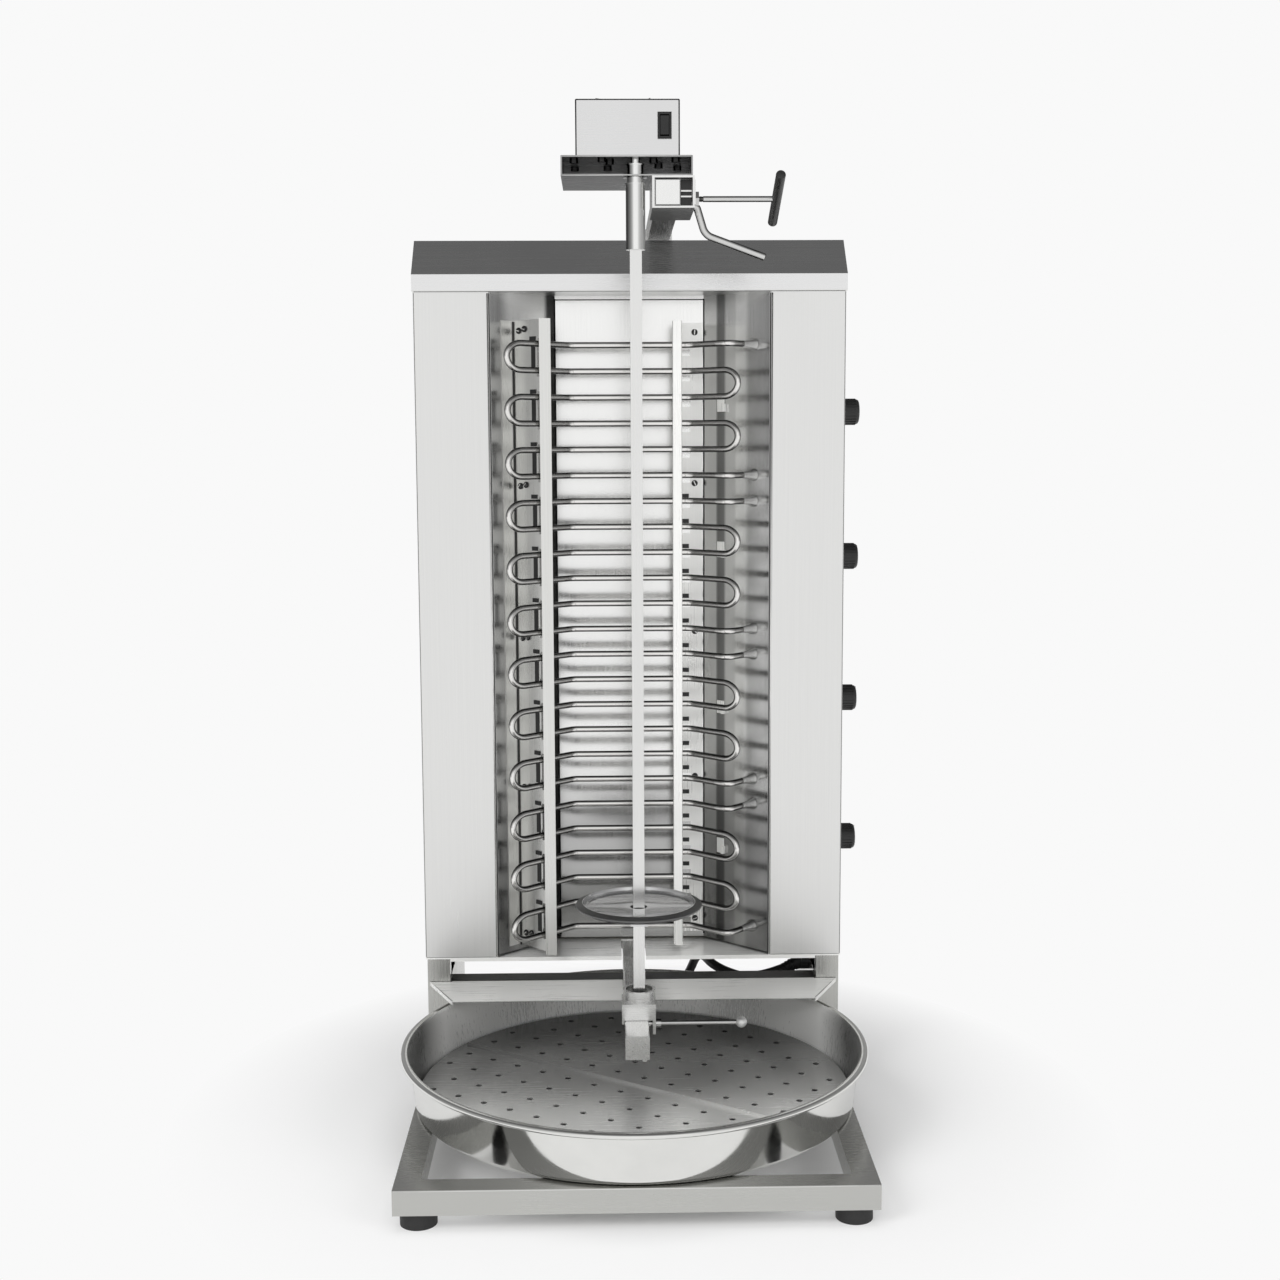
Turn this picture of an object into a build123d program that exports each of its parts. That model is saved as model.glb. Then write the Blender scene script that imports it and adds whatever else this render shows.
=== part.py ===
"""Electric doner kebab grill with four heating zones, a motor-driven spit and a pull-out drip pan.

Millimetres, +Z up, the front looks along -Y. The origin is on the floor, under the middle of the
grill's outline. Inside the source, x is measured from the middle of the casing and y from its front.
"""

import os
from math import atan2, cos, hypot, pi, radians, sin, tan

from build123d import *

os.makedirs("parts", exist_ok=True)

# Square tube, sheet and clearances
tube = 25.0
tube_wall = 2.0
sheet = 1.5
thin_sheet = 1.0
slide_gap = 0.5
running_gap = 0.08

# Base frame and feet
frame_inset = 8.5
frame_x = -3.0
frame_tail = 15.0
foot_height = 17.0
foot_radius = 18.0
foot_inset = 22.5
stud_radius = 3.9
stud_height = 12.0

# Casing, legs and reflector
casing_half_width = 240.0
casing_depth = 220.0
casing_height = 758.6
floor_gap = 11.8
leg_set_in = 1.5
leg_width = 26.0
leg_rear_gap = 30.0
opening_half = 157.0
back_half = 85.4
reflector_depth = 67.8
reflector_lift = 3.0
flange_width = 16.0

# Roof hood
hood_overhang = 1.5
lip_front = -3.0
lip_height = 17.0
roof_front = 35.0
roof_height = 59.0

# Drip pan and its perforated plates
pan_x = -1.5
pan_set_back = 7.0
pan_overhang = 19.0
pan_leg_gap = 6.8273
pan_rim_width = 7.5
pan_flare = 14.5
pan_height = 57.5
pan_sheet = 1.2
grid_gap = 5.2
grid_height = 8.0
grid_turn = -34.5
seam_shift = -4.0
hole_radius = 3.6
hole_pitch = 34.6
hole_margin = 13.0
first_row = 23.0

# Spit
spit_x = 3.5
spit_y = -170.0
rod = 12.0
rod_reach = 9.5
socket_gap = 0.2
plate_radius = 66.5
plate_rise = 100.9
plate_sheet = 2.0
plate_rim_width = 7.5
plate_rim_height = 5.9
collar_height = 17.0

# Lower arm and spit seat
lower_arm_x = 0.5
lower_arm_front = -234.0
lower_arm_gap = 12.1
seat_size = 35.0
seat_height = 17.2
cup_radius = 17.2
cup_height = 12.0

# Upper arm and carriage
upper_arm_x = 35.5
upper_arm_front = -184.0
upper_arm_gap = 9.5
sleeve_front = -182.0
sleeve_length = 98.0
tray_left = -71.0
tray_right = 60.6
tray_depth = 104.0
tray_height = 19.6
housing_left = -56.0
housing_right = 47.7
housing_front = -178.0
housing_depth = 98.0
housing_height = 55.0

# Heating elements
zones = 4
runs_per_zone = 6
run_top_gap = 57.8
run_low_gap = 30.1
element_radius = 3.5
element_gap = 45.0
left_turn_gap = 22.0
right_turn_gap = 39.0
terminal_gap = 18.0

# Regulator knobs
knob_y = 80.0
knob_top_gap = 132.4
knob_low_gap = 121.2
knob_radius = 17.0
knob_length = 26.0

# Power cord
cord_radius = 5.5

# Levels and edges that follow from the sizes above
frame_rear = casing_depth + frame_tail
frame_top = foot_height + tube
frame_half_width = casing_half_width - frame_inset
pan_rim_radius = frame_half_width + pan_overhang
pan_wall_bottom = pan_rim_radius - pan_flare
pan_y = -((pan_rim_radius**2 - (casing_half_width - leg_set_in - leg_width - pan_leg_gap)**2) ** 0.5)
frame_front = pan_y - pan_set_back - frame_half_width
lower_arm_bottom = frame_top + pan_height + lower_arm_gap
arm_low_top = lower_arm_bottom + tube
casing_bottom = arm_low_top + floor_gap
casing_top = casing_bottom + casing_height
upper_arm_bottom = casing_top + roof_height + upper_arm_gap
leg_outer = casing_half_width - leg_set_in
leg_depth = casing_depth - leg_rear_gap
knob_back = casing_half_width + 1.0
knob_tip = knob_back + knob_length
run_top = casing_top - run_top_gap
run_pitch = (run_top - casing_bottom - run_low_gap) / (zones * runs_per_zone - 1)
knob_pitch = (casing_height - knob_top_gap - knob_low_gap) / (zones - 1)
knob_heights = [casing_top - knob_top_gap - number * knob_pitch for number in range(zones)]

# Where the casing's middle and front stand, measured from the origin
casing_x = (pan_rim_radius - pan_x - knob_tip) / 2
casing_y = -(frame_rear + pan_y - pan_rim_radius) / 2
slope = atan2(reflector_depth, opening_half - back_half)


def level(z):
    """Horizontal plane at height z."""
    return Plane((casing_x, casing_y, z))


def facing(y):
    """Upright plane that looks to the front, at depth y."""
    return Plane(origin=(casing_x, casing_y + y, 0), x_dir=(1, 0, 0), z_dir=(0, -1, 0))


def side(x):
    """Upright plane that looks to the right, at distance x."""
    return Plane(origin=(casing_x + x, casing_y, 0), x_dir=(0, 1, 0), z_dir=(1, 0, 0))


def spot(x, y, z):
    """A point given from the casing's middle and front."""
    return Vector(casing_x + x, casing_y + y, z)


def bar(x0, x1, y0, y1, z0, z1, mode=Mode.ADD):
    """Rectangular block between the given faces."""
    with BuildSketch(level(z0)) as outline:
        with Locations(((x0 + x1) / 2, (y0 + y1) / 2)):
            Rectangle(x1 - x0, y1 - y0)
    extrude(outline.sketch, amount=z1 - z0, mode=mode)


def pillar(x, y, radius, z0, z1, mode=Mode.ADD):
    """Upright cylinder."""
    with BuildSketch(level(z0)) as outline:
        with Locations((x, y)):
            Circle(radius)
    extrude(outline.sketch, amount=z1 - z0, mode=mode)


def peg(x0, x1, y, z, radius, mode=Mode.ADD):
    """Cylinder that lies along X."""
    with BuildSketch(side(x0)) as outline:
        with Locations((y, z)):
            Circle(radius)
    extrude(outline.sketch, amount=x1 - x0, mode=mode)


def stud(x, z, radius, y0, y1, mode=Mode.ADD):
    """Cylinder that lies along Y, from y0 back to y1."""
    with BuildSketch(facing(y1)) as outline:
        with Locations((x, z)):
            Circle(radius)
    extrude(outline.sketch, amount=y1 - y0, mode=mode)


def polygon(plane, points, amount, mode=Mode.ADD):
    """Straight-sided outline on a plane, extruded along its normal."""
    with BuildSketch(plane) as outline:
        with BuildLine():
            Polyline(*points, close=True)
        make_face()
    extrude(outline.sketch, amount=amount, mode=mode)


def folded(points, thickness):
    """Outline of a folded sheet: one face given as points, the other moved off to its left."""
    normals = []
    for start, end in zip(points, points[1:]):
        length = hypot(end[0] - start[0], end[1] - start[1])
        normals.append(((start[1] - end[1]) / length, (end[0] - start[0]) / length))
    normals = [normals[0]] + normals + [normals[-1]]
    back = []
    for point, before, after in zip(points, normals, normals[1:]):
        share = thickness / (1 + before[0] * after[0] + before[1] * after[1])
        moved_x = point[0] + share * (before[0] + after[0])
        moved_y = point[1] + share * (before[1] + after[1])
        back.append((moved_x, moved_y))
    return list(points) + back[::-1]


# Base frame: one ring of square tube, open under the feet's studs
foot_rows = (frame_front + foot_inset, frame_rear - foot_inset)
foot_columns = (frame_x - frame_half_width + foot_inset, frame_x + frame_half_width - foot_inset)
foot_spots = [(x, y) for x in foot_columns for y in foot_rows]
frame_left = frame_x - frame_half_width
frame_right = frame_x + frame_half_width
with BuildPart() as base_frame:
    bar(frame_left, frame_right, frame_front, frame_rear, foot_height, frame_top)
    bar(frame_left + tube, frame_right - tube, frame_front + tube, frame_rear - tube,
        0, frame_top + 1, Mode.SUBTRACT)
    hollow_low = foot_height + tube_wall
    hollow_top = frame_top - tube_wall
    for rail_x in (frame_left, frame_right - tube):
        bar(rail_x + tube_wall, rail_x + tube - tube_wall, frame_front + tube_wall,
            frame_rear - tube_wall, hollow_low, hollow_top, Mode.SUBTRACT)
    for rail_y in (frame_front, frame_rear - tube):
        bar(frame_left + tube - tube_wall, frame_right - tube + tube_wall, rail_y + tube_wall,
            rail_y + tube - tube_wall, hollow_low, hollow_top, Mode.SUBTRACT)
    for x, y in foot_spots:
        pillar(x, y, stud_radius + 0.2, 0, foot_height + stud_height + 0.5, Mode.SUBTRACT)
base_frame.part.label = "base_frame"
export_step(base_frame.part, "parts/base_frame.step")

# Rubber feet with their studs in the frame
with BuildPart() as rubber_feet:
    for x, y in foot_spots:
        pillar(x, y, foot_radius, 0, foot_height)
        pillar(x, y, stud_radius, foot_height, foot_height + stud_height)
rubber_feet.part.label = "rubber_feet"
export_step(rubber_feet.part, "parts/rubber_feet.step")


window_front = 14.0
window_back = 60.0


def build_leg(hand):
    """Sheet column with a window in its inner wall and a foot flange on the rail."""
    outer = hand * leg_outer
    inner_x = hand * (leg_outer - leg_width)
    with BuildPart() as leg:
        if hand > 0:
            wall = [(inner_x, leg_depth), (inner_x, 0), (outer, 0), (outer, leg_depth)]
        else:
            wall = [(outer, leg_depth), (outer, 0), (inner_x, 0), (inner_x, leg_depth)]
        polygon(level(frame_top), folded(wall, sheet), casing_bottom - sheet - frame_top)
        low_x = min(outer, inner_x)
        high_x = max(outer, inner_x)
        bar(low_x, high_x, 0, leg_depth, frame_top, frame_top + sheet)
        bar(low_x, high_x, leg_depth - sheet, leg_depth, frame_top, casing_bottom - sheet)
        window_x = min(inner_x, inner_x + hand * 2 * sheet)
        bar(window_x - 0.1, window_x + 2 * sheet + 0.1, window_front, window_back,
            casing_bottom - 26, casing_bottom - 6, Mode.SUBTRACT)
    return leg.part


leg_left = build_leg(-1)
leg_left.label = "leg_left"
export_step(leg_left, "parts/leg_left.step")
leg_right = build_leg(1)
leg_right.label = "leg_right"
export_step(leg_right, "parts/leg_right.step")

# Cross bars between the legs; the front one is notched for the lower arm
leg_inner = leg_outer - leg_width
cross_low = frame_top + pan_height + 1.5
cross_height = 19.0
cross_top = cross_low + cross_height
cross_front = 4.0
arm_low_left = lower_arm_x - tube / 2
arm_low_right = lower_arm_x + tube / 2
with BuildPart() as front_crossbar:
    bar(-leg_inner, leg_inner, cross_front, cross_front + tube, cross_low, cross_top)
    bar(-leg_inner - 1, leg_inner + 1, cross_front + tube_wall, cross_front + tube - tube_wall,
        cross_low + tube_wall, cross_top - tube_wall, Mode.SUBTRACT)
    bar(arm_low_left, arm_low_right, cross_front - 1, cross_front + tube + 1,
        lower_arm_bottom, cross_top + 1, Mode.SUBTRACT)
front_crossbar.part.label = "front_crossbar"
export_step(front_crossbar.part, "parts/front_crossbar.step")

lower_arm_rear = leg_depth - 40
with BuildPart() as rear_crossbar:
    bar(-leg_inner, leg_inner, lower_arm_rear, lower_arm_rear + tube, lower_arm_bottom, arm_low_top)
    bar(-leg_inner - 1, leg_inner + 1, lower_arm_rear + tube_wall, lower_arm_rear + tube - tube_wall,
        lower_arm_bottom + tube_wall, arm_low_top - tube_wall, Mode.SUBTRACT)
rear_crossbar.part.label = "rear_crossbar"
export_step(rear_crossbar.part, "parts/rear_crossbar.step")

# Lower arm: square tube with a closed front end, open at the back, and a small stud underneath
with BuildPart() as lower_arm:
    bar(arm_low_left, arm_low_right, lower_arm_front, lower_arm_rear, lower_arm_bottom, arm_low_top)
    bar(arm_low_left + tube_wall, arm_low_right - tube_wall, lower_arm_front + tube_wall,
        lower_arm_rear + 1, lower_arm_bottom + tube_wall, arm_low_top - tube_wall, Mode.SUBTRACT)
    fillet(lower_arm.edges().filter_by(Axis.Y).group_by(Axis.Z)[-1], 1.5)
    pillar(lower_arm_x + 7.5, lower_arm_front + 8, 2.6, lower_arm_bottom - 4, lower_arm_bottom + 1)
lower_arm.part.label = "lower_arm"
export_step(lower_arm.part, "parts/lower_arm.step")

# Apron: sloped drip guard that leads fat from the casing into the pan
apron_top_half = casing_half_width - 4
apron_low_half = apron_top_half - 29
apron_top_y = -1.5
apron_top_z = cross_top + 0.4
apron_low_y = -45.0
apron_low_z = cross_top - 8.7
apron_sheet = 1.2
apron_run = hypot(apron_top_y - apron_low_y, apron_top_z - apron_low_z)
apron_tilt = atan2(apron_top_z - apron_low_z, apron_top_y - apron_low_y)
apron_plane = Plane(
    origin=spot(0, apron_top_y, apron_top_z), x_dir=(1, 0, 0), z_dir=(0, -sin(apron_tilt), cos(apron_tilt))
)
with BuildPart() as apron:
    polygon(apron_plane, [(-apron_top_half, 0), (apron_top_half, 0), (apron_low_half, -apron_run),
            (-apron_low_half, -apron_run)], -apron_sheet)
    for hand in (-1, 1):
        polygon(apron_plane, [(hand * apron_top_half, 0), (hand * (apron_top_half - 1.4), 0),
                (hand * (apron_low_half - 1.4), -apron_run), (hand * apron_low_half, -apron_run)], -4.5)
    bar(-leg_inner + 2, leg_inner - 2, apron_top_y - 2, cross_front, apron_top_z - 2 * apron_sheet,
        apron_top_z - apron_sheet)
    bar(-leg_inner + 2, leg_inner - 2, cross_front - apron_sheet, cross_front, cross_low,
        apron_top_z - apron_sheet)
    bar(arm_low_left - slide_gap, arm_low_right + slide_gap, apron_low_y - 10, cross_front + 1,
        lower_arm_bottom - slide_gap, arm_low_top, Mode.SUBTRACT)
    bar(arm_low_left - slide_gap, arm_low_right + slide_gap, apron_low_y - 10, -8, cross_low - 5, arm_low_top,
        Mode.SUBTRACT)
apron.part.label = "apron"
export_step(apron.part, "parts/apron.step")

# Casing floor, notched over the lower arm, with a small front lip
casing_back = casing_depth + sheet
with BuildPart() as floor_plate:
    bar(-casing_half_width, casing_half_width, 0, casing_back, casing_bottom - sheet, casing_bottom)
    bar(-leg_inner + 1, leg_inner - 1, 0, sheet, casing_bottom - sheet - 3, casing_bottom - sheet)
    bar(arm_low_left - 1.5, arm_low_right + 1.5, -1, reflector_depth - 2, casing_bottom - 8,
        casing_bottom + 1, Mode.SUBTRACT)
floor_plate.part.label = "floor_plate"
export_step(floor_plate.part, "parts/floor_plate.step")


def build_casing(hand):
    """Front flat and side panel folded from one sheet, with a rear flange; shaft holes on the right."""
    edge = hand * opening_half
    corner = hand * casing_half_width
    flange = hand * (casing_half_width - flange_width)
    with BuildPart() as shell:
        if hand > 0:
            wall = [(edge, 0), (corner, 0), (corner, casing_depth), (flange, casing_depth)]
        else:
            wall = [(flange, casing_depth), (corner, casing_depth), (corner, 0), (edge, 0)]
        polygon(level(casing_bottom), folded(wall, sheet), casing_top - casing_bottom)
        if hand > 0:
            for height in knob_heights:
                peg(corner - 2 * sheet, corner + 1, knob_y, height, 5.5, Mode.SUBTRACT)
    return shell.part


casing_left = build_casing(-1)
casing_left.label = "casing_left"
export_step(casing_left, "parts/casing_left.step")
casing_right = build_casing(1)
casing_right.label = "casing_right"
export_step(casing_right, "parts/casing_right.step")

# Rear panel with vent slots
slot_rows = 9
slot_width = 90.0
with BuildPart() as rear_panel:
    bar(-casing_half_width, casing_half_width, casing_depth, casing_back, casing_bottom, casing_top)
    for column in (-120, 0, 120):
        for row in range(slot_rows):
            z = casing_top - 90 - row * 22
            bar(column - slot_width / 2, column + slot_width / 2, casing_depth - 1, casing_back + 1,
                z, z + 6, Mode.SUBTRACT)
rear_panel.part.label = "rear_panel"
export_step(rear_panel.part, "parts/rear_panel.step")

# Reflector: back panel and two slanted side panels folded from one sheet, holed for the terminals
reflector_bottom = casing_bottom + reflector_lift
front_x = opening_half - sheet * (opening_half - back_half) / reflector_depth
terminal_x = opening_half - terminal_gap
terminal_y = reflector_depth * (opening_half - terminal_x) / (opening_half - back_half)
zone_pitch = runs_per_zone * run_pitch
terminal_heights = []
for zone in range(zones):
    terminal_heights.append(run_top - zone * zone_pitch)
    terminal_heights.append(run_top - zone * zone_pitch - (runs_per_zone - 1) * run_pitch)
with BuildPart() as reflector:
    face = [(front_x + flange_width, sheet), (front_x, sheet), (back_half, reflector_depth),
            (-back_half, reflector_depth), (-front_x, sheet), (-front_x - flange_width, sheet)]
    polygon(level(reflector_bottom), folded(face[::-1], thin_sheet), casing_top - reflector_bottom)
    panel = Plane(origin=spot(terminal_x, terminal_y, 0), x_dir=(0, 0, 1),
                  z_dir=(sin(slope), cos(slope), 0))
    for height in terminal_heights:
        with BuildSketch(panel.offset(-3)) as hole:
            with Locations((height, 0)):
                Circle(element_radius + 0.3)
        extrude(hole.sketch, amount=6, mode=Mode.SUBTRACT)
reflector.part.label = "reflector"
export_step(reflector.part, "parts/reflector.step")

# Insulation mat behind the reflector
with BuildPart() as insulation:
    bar(-back_half - 1, back_half + 1, reflector_depth + thin_sheet, reflector_depth + 26,
        reflector_bottom + 5, casing_top - 2)
insulation.part.label = "insulation"
export_step(insulation.part, "parts/insulation.step")

# Ceiling plate under the hood
hood_half = casing_half_width + hood_overhang
hood_back = casing_back + hood_overhang
ceiling_top = casing_top + sheet
with BuildPart() as ceiling_plate:
    bar(-hood_half, hood_half, lip_front, hood_back, casing_top, ceiling_top)
ceiling_plate.part.label = "ceiling_plate"
export_step(ceiling_plate.part, "parts/ceiling_plate.step")

# Roof hood: upright lip, slanted front and flat top, open underneath
roof_top = casing_top + roof_height
lip_top = ceiling_top + lip_height
with BuildPart() as roof_hood:
    outer = [(lip_front, ceiling_top), (lip_front, lip_top), (roof_front, roof_top),
             (hood_back, roof_top), (hood_back, ceiling_top)]
    polygon(side(-hood_half), outer, 2 * hood_half)
    hollow = [(lip_front + sheet, ceiling_top - 1), (lip_front + sheet, lip_top - 0.6),
              (roof_front + 0.6, roof_top - sheet), (hood_back - sheet, roof_top - sheet),
              (hood_back - sheet, ceiling_top - 1)]
    polygon(side(-hood_half + sheet), hollow, 2 * (hood_half - sheet), Mode.SUBTRACT)
roof_hood.part.label = "roof_hood"
export_step(roof_hood.part, "parts/roof_hood.step")

# Bracket that carries the upper arm on the roof
arm_up_left = upper_arm_x - tube / 2
arm_up_right = upper_arm_x + tube / 2
arm_up_top = upper_arm_bottom + tube
upper_arm_rear = casing_depth - 20
mount_front = upper_arm_rear - 88
mount_back = upper_arm_rear + 5
with BuildPart() as arm_mount:
    bar(arm_up_left - 18, arm_up_right + 18, mount_front, mount_back, roof_top, roof_top + 3)
    bar(arm_up_left - 3, arm_up_right + 3, mount_front, mount_back, roof_top + 3, upper_arm_bottom + 12)
    bar(arm_up_left, arm_up_right, mount_front - 1, mount_back + 1,
        upper_arm_bottom, arm_up_top, Mode.SUBTRACT)
    for x in (arm_up_left - 11, arm_up_right + 11):
        for y in (mount_front + 13, mount_back - 13):
            with BuildSketch(level(roof_top + 3)) as bolt:
                with Locations((x, y)):
                    RegularPolygon(5, 6)
            extrude(bolt.sketch, amount=4)
arm_mount.part.label = "arm_mount"
export_step(arm_mount.part, "parts/arm_mount.step")

# Upper arm: square tube with a closed front end
with BuildPart() as upper_arm:
    bar(arm_up_left, arm_up_right, upper_arm_front, upper_arm_rear, upper_arm_bottom, arm_up_top)
    bar(arm_up_left + tube_wall, arm_up_right - tube_wall, upper_arm_front + tube_wall,
        upper_arm_rear + 1, upper_arm_bottom + tube_wall, arm_up_top - tube_wall, Mode.SUBTRACT)
upper_arm.part.label = "upper_arm"
export_step(upper_arm.part, "parts/upper_arm.step")


def panel_point(reach):
    """Point at distance reach from the middle on the line that the outer element runs follow."""
    line_x = back_half - element_gap * sin(slope)
    line_y = reflector_depth - element_gap * cos(slope)
    return line_y - (reach - line_x) * tan(slope)


lead_bend = 10.0


def element_points(top):
    """Centre line of one serpentine element, with its bends as short chords."""
    run_y = reflector_depth - element_gap
    corner_x = back_half - element_gap * (sin(slope) - (1 - cos(slope)) / tan(slope))
    bend = run_pitch / 2

    def turn(gap, hand, z):
        points = []
        centre = opening_half - gap - bend
        for step in range(5):
            angle = radians(90 - 45 * step)
            distance = centre + bend * cos(angle)
            points.append((hand * distance, panel_point(distance), z - bend + bend * sin(angle)))
        return points

    def corner(hand, z, inward):
        near = (hand * (corner_x - 4), run_y, z)
        far = (hand * (corner_x + 3), panel_point(corner_x + 3), z)
        return [far, near] if inward else [near, far]

    corner_at = (terminal_x - element_gap * sin(slope), terminal_y - element_gap * cos(slope))
    lead = [(terminal_x + 3 * sin(slope), terminal_y + 3 * cos(slope))]
    for step in range(4):
        angle = radians(30 * step)
        out = lead_bend * (1 - sin(angle))
        back = lead_bend * (1 - cos(angle))
        lead.append((corner_at[0] - back * cos(slope) + out * sin(slope),
                     corner_at[1] + back * sin(slope) + out * cos(slope)))
    points = [(x, y, top) for x, y in lead] + corner(1, top, True) + corner(-1, top, False)
    for index in range(runs_per_zone - 1):
        z = top - index * run_pitch
        if index % 2 == 0:
            points += turn(left_turn_gap, -1, z)
            points += corner(-1, z - run_pitch, True) + corner(1, z - run_pitch, False)
        else:
            points += turn(right_turn_gap, 1, z)
            points += corner(1, z - run_pitch, True) + corner(-1, z - run_pitch, False)
    low = top - (runs_per_zone - 1) * run_pitch
    points += [(x, y, low) for x, y in reversed(lead)]
    return [spot(*point) for point in points]


def tube_faces(points, radius, sides):
    """Flat faces of a many-sided tube along a chord line, mitred at each point and closed at both ends."""
    directions = [(end - start).normalized() for start, end in zip(points, points[1:])]
    section = Plane(origin=points[0], z_dir=directions[0])
    angles = [2 * pi * number / sides for number in range(sides)]
    ring = [section.from_local_coords(Vector(radius * cos(a), radius * sin(a), 0)) for a in angles]
    faces = [Face(Wire.make_polygon(ring))]
    for target, direction, ahead in zip(points[1:], directions, directions[1:] + directions[-1:]):
        mitre = direction + ahead
        moved = []
        for corner in ring:
            moved.append(corner + direction * ((target - corner).dot(mitre) / direction.dot(mitre)))
        for number in range(sides):
            other = (number + 1) % sides
            faces.append(Face(Wire.make_polygon([ring[number], ring[other], moved[other], moved[number]])))
        ring = moved
    faces.append(Face(Wire.make_polygon(ring)))
    return faces


for zone in range(zones):
    with BuildPart() as heater:
        add(Solid(Shell(tube_faces(element_points(run_top - zone * zone_pitch), element_radius, 8))))
    heater.part.label = f"heater_{zone + 1}"
    export_step(heater.part, f"parts/heater_{zone + 1}.step")

# Left element bracket: foot on the slanted panel, windowed web and a flat front bar
bracket_low = casing_bottom + 9.6
bracket_high = casing_top - 30.5
web_reach = 64.0
web_height = element_gap + 9.5
web_sheet = 1.2
window_width = 2 * element_radius + 3
along = (-cos(slope), -sin(slope), 0)
inward = (sin(slope), -cos(slope), 0)
with BuildPart() as bracket_left:
    panel_floor = Plane(origin=spot(-back_half, reflector_depth, bracket_low), x_dir=along, z_dir=(0, 0, 1))
    foot_and_web = [
        (web_reach - web_sheet, 0), (web_reach + 17.4, 0), (web_reach + 17.4, web_sheet),
        (web_reach, web_sheet), (web_reach, web_height), (web_reach - web_sheet, web_height),
    ]
    polygon(panel_floor, foot_and_web, bracket_high - bracket_low)
    web_face = Plane(
        origin=spot(-back_half + (web_reach - 4) * along[0], reflector_depth + (web_reach - 4) * along[1], 0),
        x_dir=inward, z_dir=along
    )
    for pair in range(zones * runs_per_zone // 2):
        z = run_top - (2 * pair + 0.5) * run_pitch
        with BuildSketch(web_face) as window:
            with Locations((element_gap, z)):
                Rectangle(window_width, run_pitch + 13)
        extrude(window.sketch, amount=8, mode=Mode.SUBTRACT)
    bar_x = -back_half + web_reach * along[0] + web_height * inward[0]
    bar_y = reflector_depth + web_reach * along[1] + web_height * inward[1]
    bar(bar_x - 6.3, bar_x + 6.3, bar_y - 2.4, bar_y + 0.9, bracket_low - 2, bracket_high)
bracket_left.part.label = "bracket_left"
export_step(bracket_left.part, "parts/bracket_left.step")

# Right element bracket: slotted foot on the back panel, notched web and a round-ended front bar
foot_left = back_half - 28.4
foot_right = back_half - 1.4
run_y = reflector_depth - element_gap
with BuildPart() as bracket_right:
    bar(foot_left, foot_right, reflector_depth - web_sheet, reflector_depth, bracket_low, bracket_high)
    bar(foot_left, foot_left + web_sheet, run_y - 4, reflector_depth - 1, bracket_low, bracket_high)
    bar(foot_left - 9.5, foot_left + web_sheet, run_y - 7.5, run_y - 3.9, bracket_low - 2, bracket_high)
    bar_ends = bracket_right.edges().filter_by(Axis.Y).filter_by_position(
        Axis.X, casing_x + foot_left - 9.6, casing_x + foot_left - 9.4)
    fillet(bar_ends, 4)
    for index in range(zones * runs_per_zone):
        z = run_top - index * run_pitch
        bar(foot_left - 1, foot_left + 3, run_y - 3.8, run_y + 4, z - 4, z + 4, Mode.SUBTRACT)
        bar(foot_left + 3, foot_left + 13, reflector_depth - 2, reflector_depth + 0.5,
            z - 10, z - 3, Mode.SUBTRACT)
bracket_right.part.label = "bracket_right"
export_step(bracket_right.part, "parts/bracket_right.step")

# Screws that hold both brackets
screw_rows = 5
with BuildPart() as bracket_screws:
    for number in range(screw_rows):
        z = bracket_high - 10.5 - number * (bracket_high - bracket_low - 28.5) / (screw_rows - 1)
        head_x = -back_half + (web_reach + 9) * along[0] + web_sheet * inward[0]
        head_y = reflector_depth + (web_reach + 9) * along[1] + web_sheet * inward[1]
        with BuildSketch(Plane(origin=spot(head_x, head_y, z), x_dir=along, z_dir=inward)) as head:
            RegularPolygon(3.4, 6)
        extrude(head.sketch, amount=2.4)
        with BuildSketch(facing(reflector_depth - web_sheet)) as head:
            with Locations((foot_right - 9, z)):
                RegularPolygon(3.4, 6)
        extrude(head.sketch, amount=2.4)
bracket_screws.part.label = "bracket_screws"
export_step(bracket_screws.part, "parts/bracket_screws.step")

# Regulators behind the right side panel, their shafts reach into the knobs
panel_inside = casing_half_width - sheet
shaft_radius = 3.0
with BuildPart() as regulators:
    for z in knob_heights:
        bar(panel_inside - 34, panel_inside, knob_y - 22, knob_y + 22, z - 24, z + 24)
        peg(panel_inside, casing_half_width + 16, knob_y, z, shaft_radius)
regulators.part.label = "regulators"
export_step(regulators.part, "parts/regulators.step")

# Regulator knobs: collar, grip and a raised pointer
for index, z in enumerate(knob_heights):
    with BuildPart() as knob:
        peg(knob_back, knob_back + 4, knob_y, z, knob_radius)
        peg(knob_back + 4, knob_tip, knob_y, z, knob_radius - 1.5)
        chamfer(knob.edges().group_by(Axis.X)[-1], 1.2)
        bar(knob_back + 6, knob_tip - 1.3, knob_y - 1.5, knob_y + 1.5, z + knob_radius - 3, z + knob_radius)
        peg(knob_back - 1, casing_half_width + 17, knob_y, z, shaft_radius + running_gap, Mode.SUBTRACT)
    knob.part.label = f"knob_{index + 1}"
    export_step(knob.part, f"parts/knob_{index + 1}.step")

# Terminal block on the casing floor
with BuildPart() as terminal_block:
    block_back = casing_depth - 16
    bar(120, 200, block_back - 28, block_back, casing_bottom, casing_bottom + 22)
    bar(124, 196, block_back - 22, block_back - 6, casing_bottom + 22, casing_bottom + 30)
terminal_block.part.label = "terminal_block"
export_step(terminal_block.part, "parts/terminal_block.step")

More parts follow.
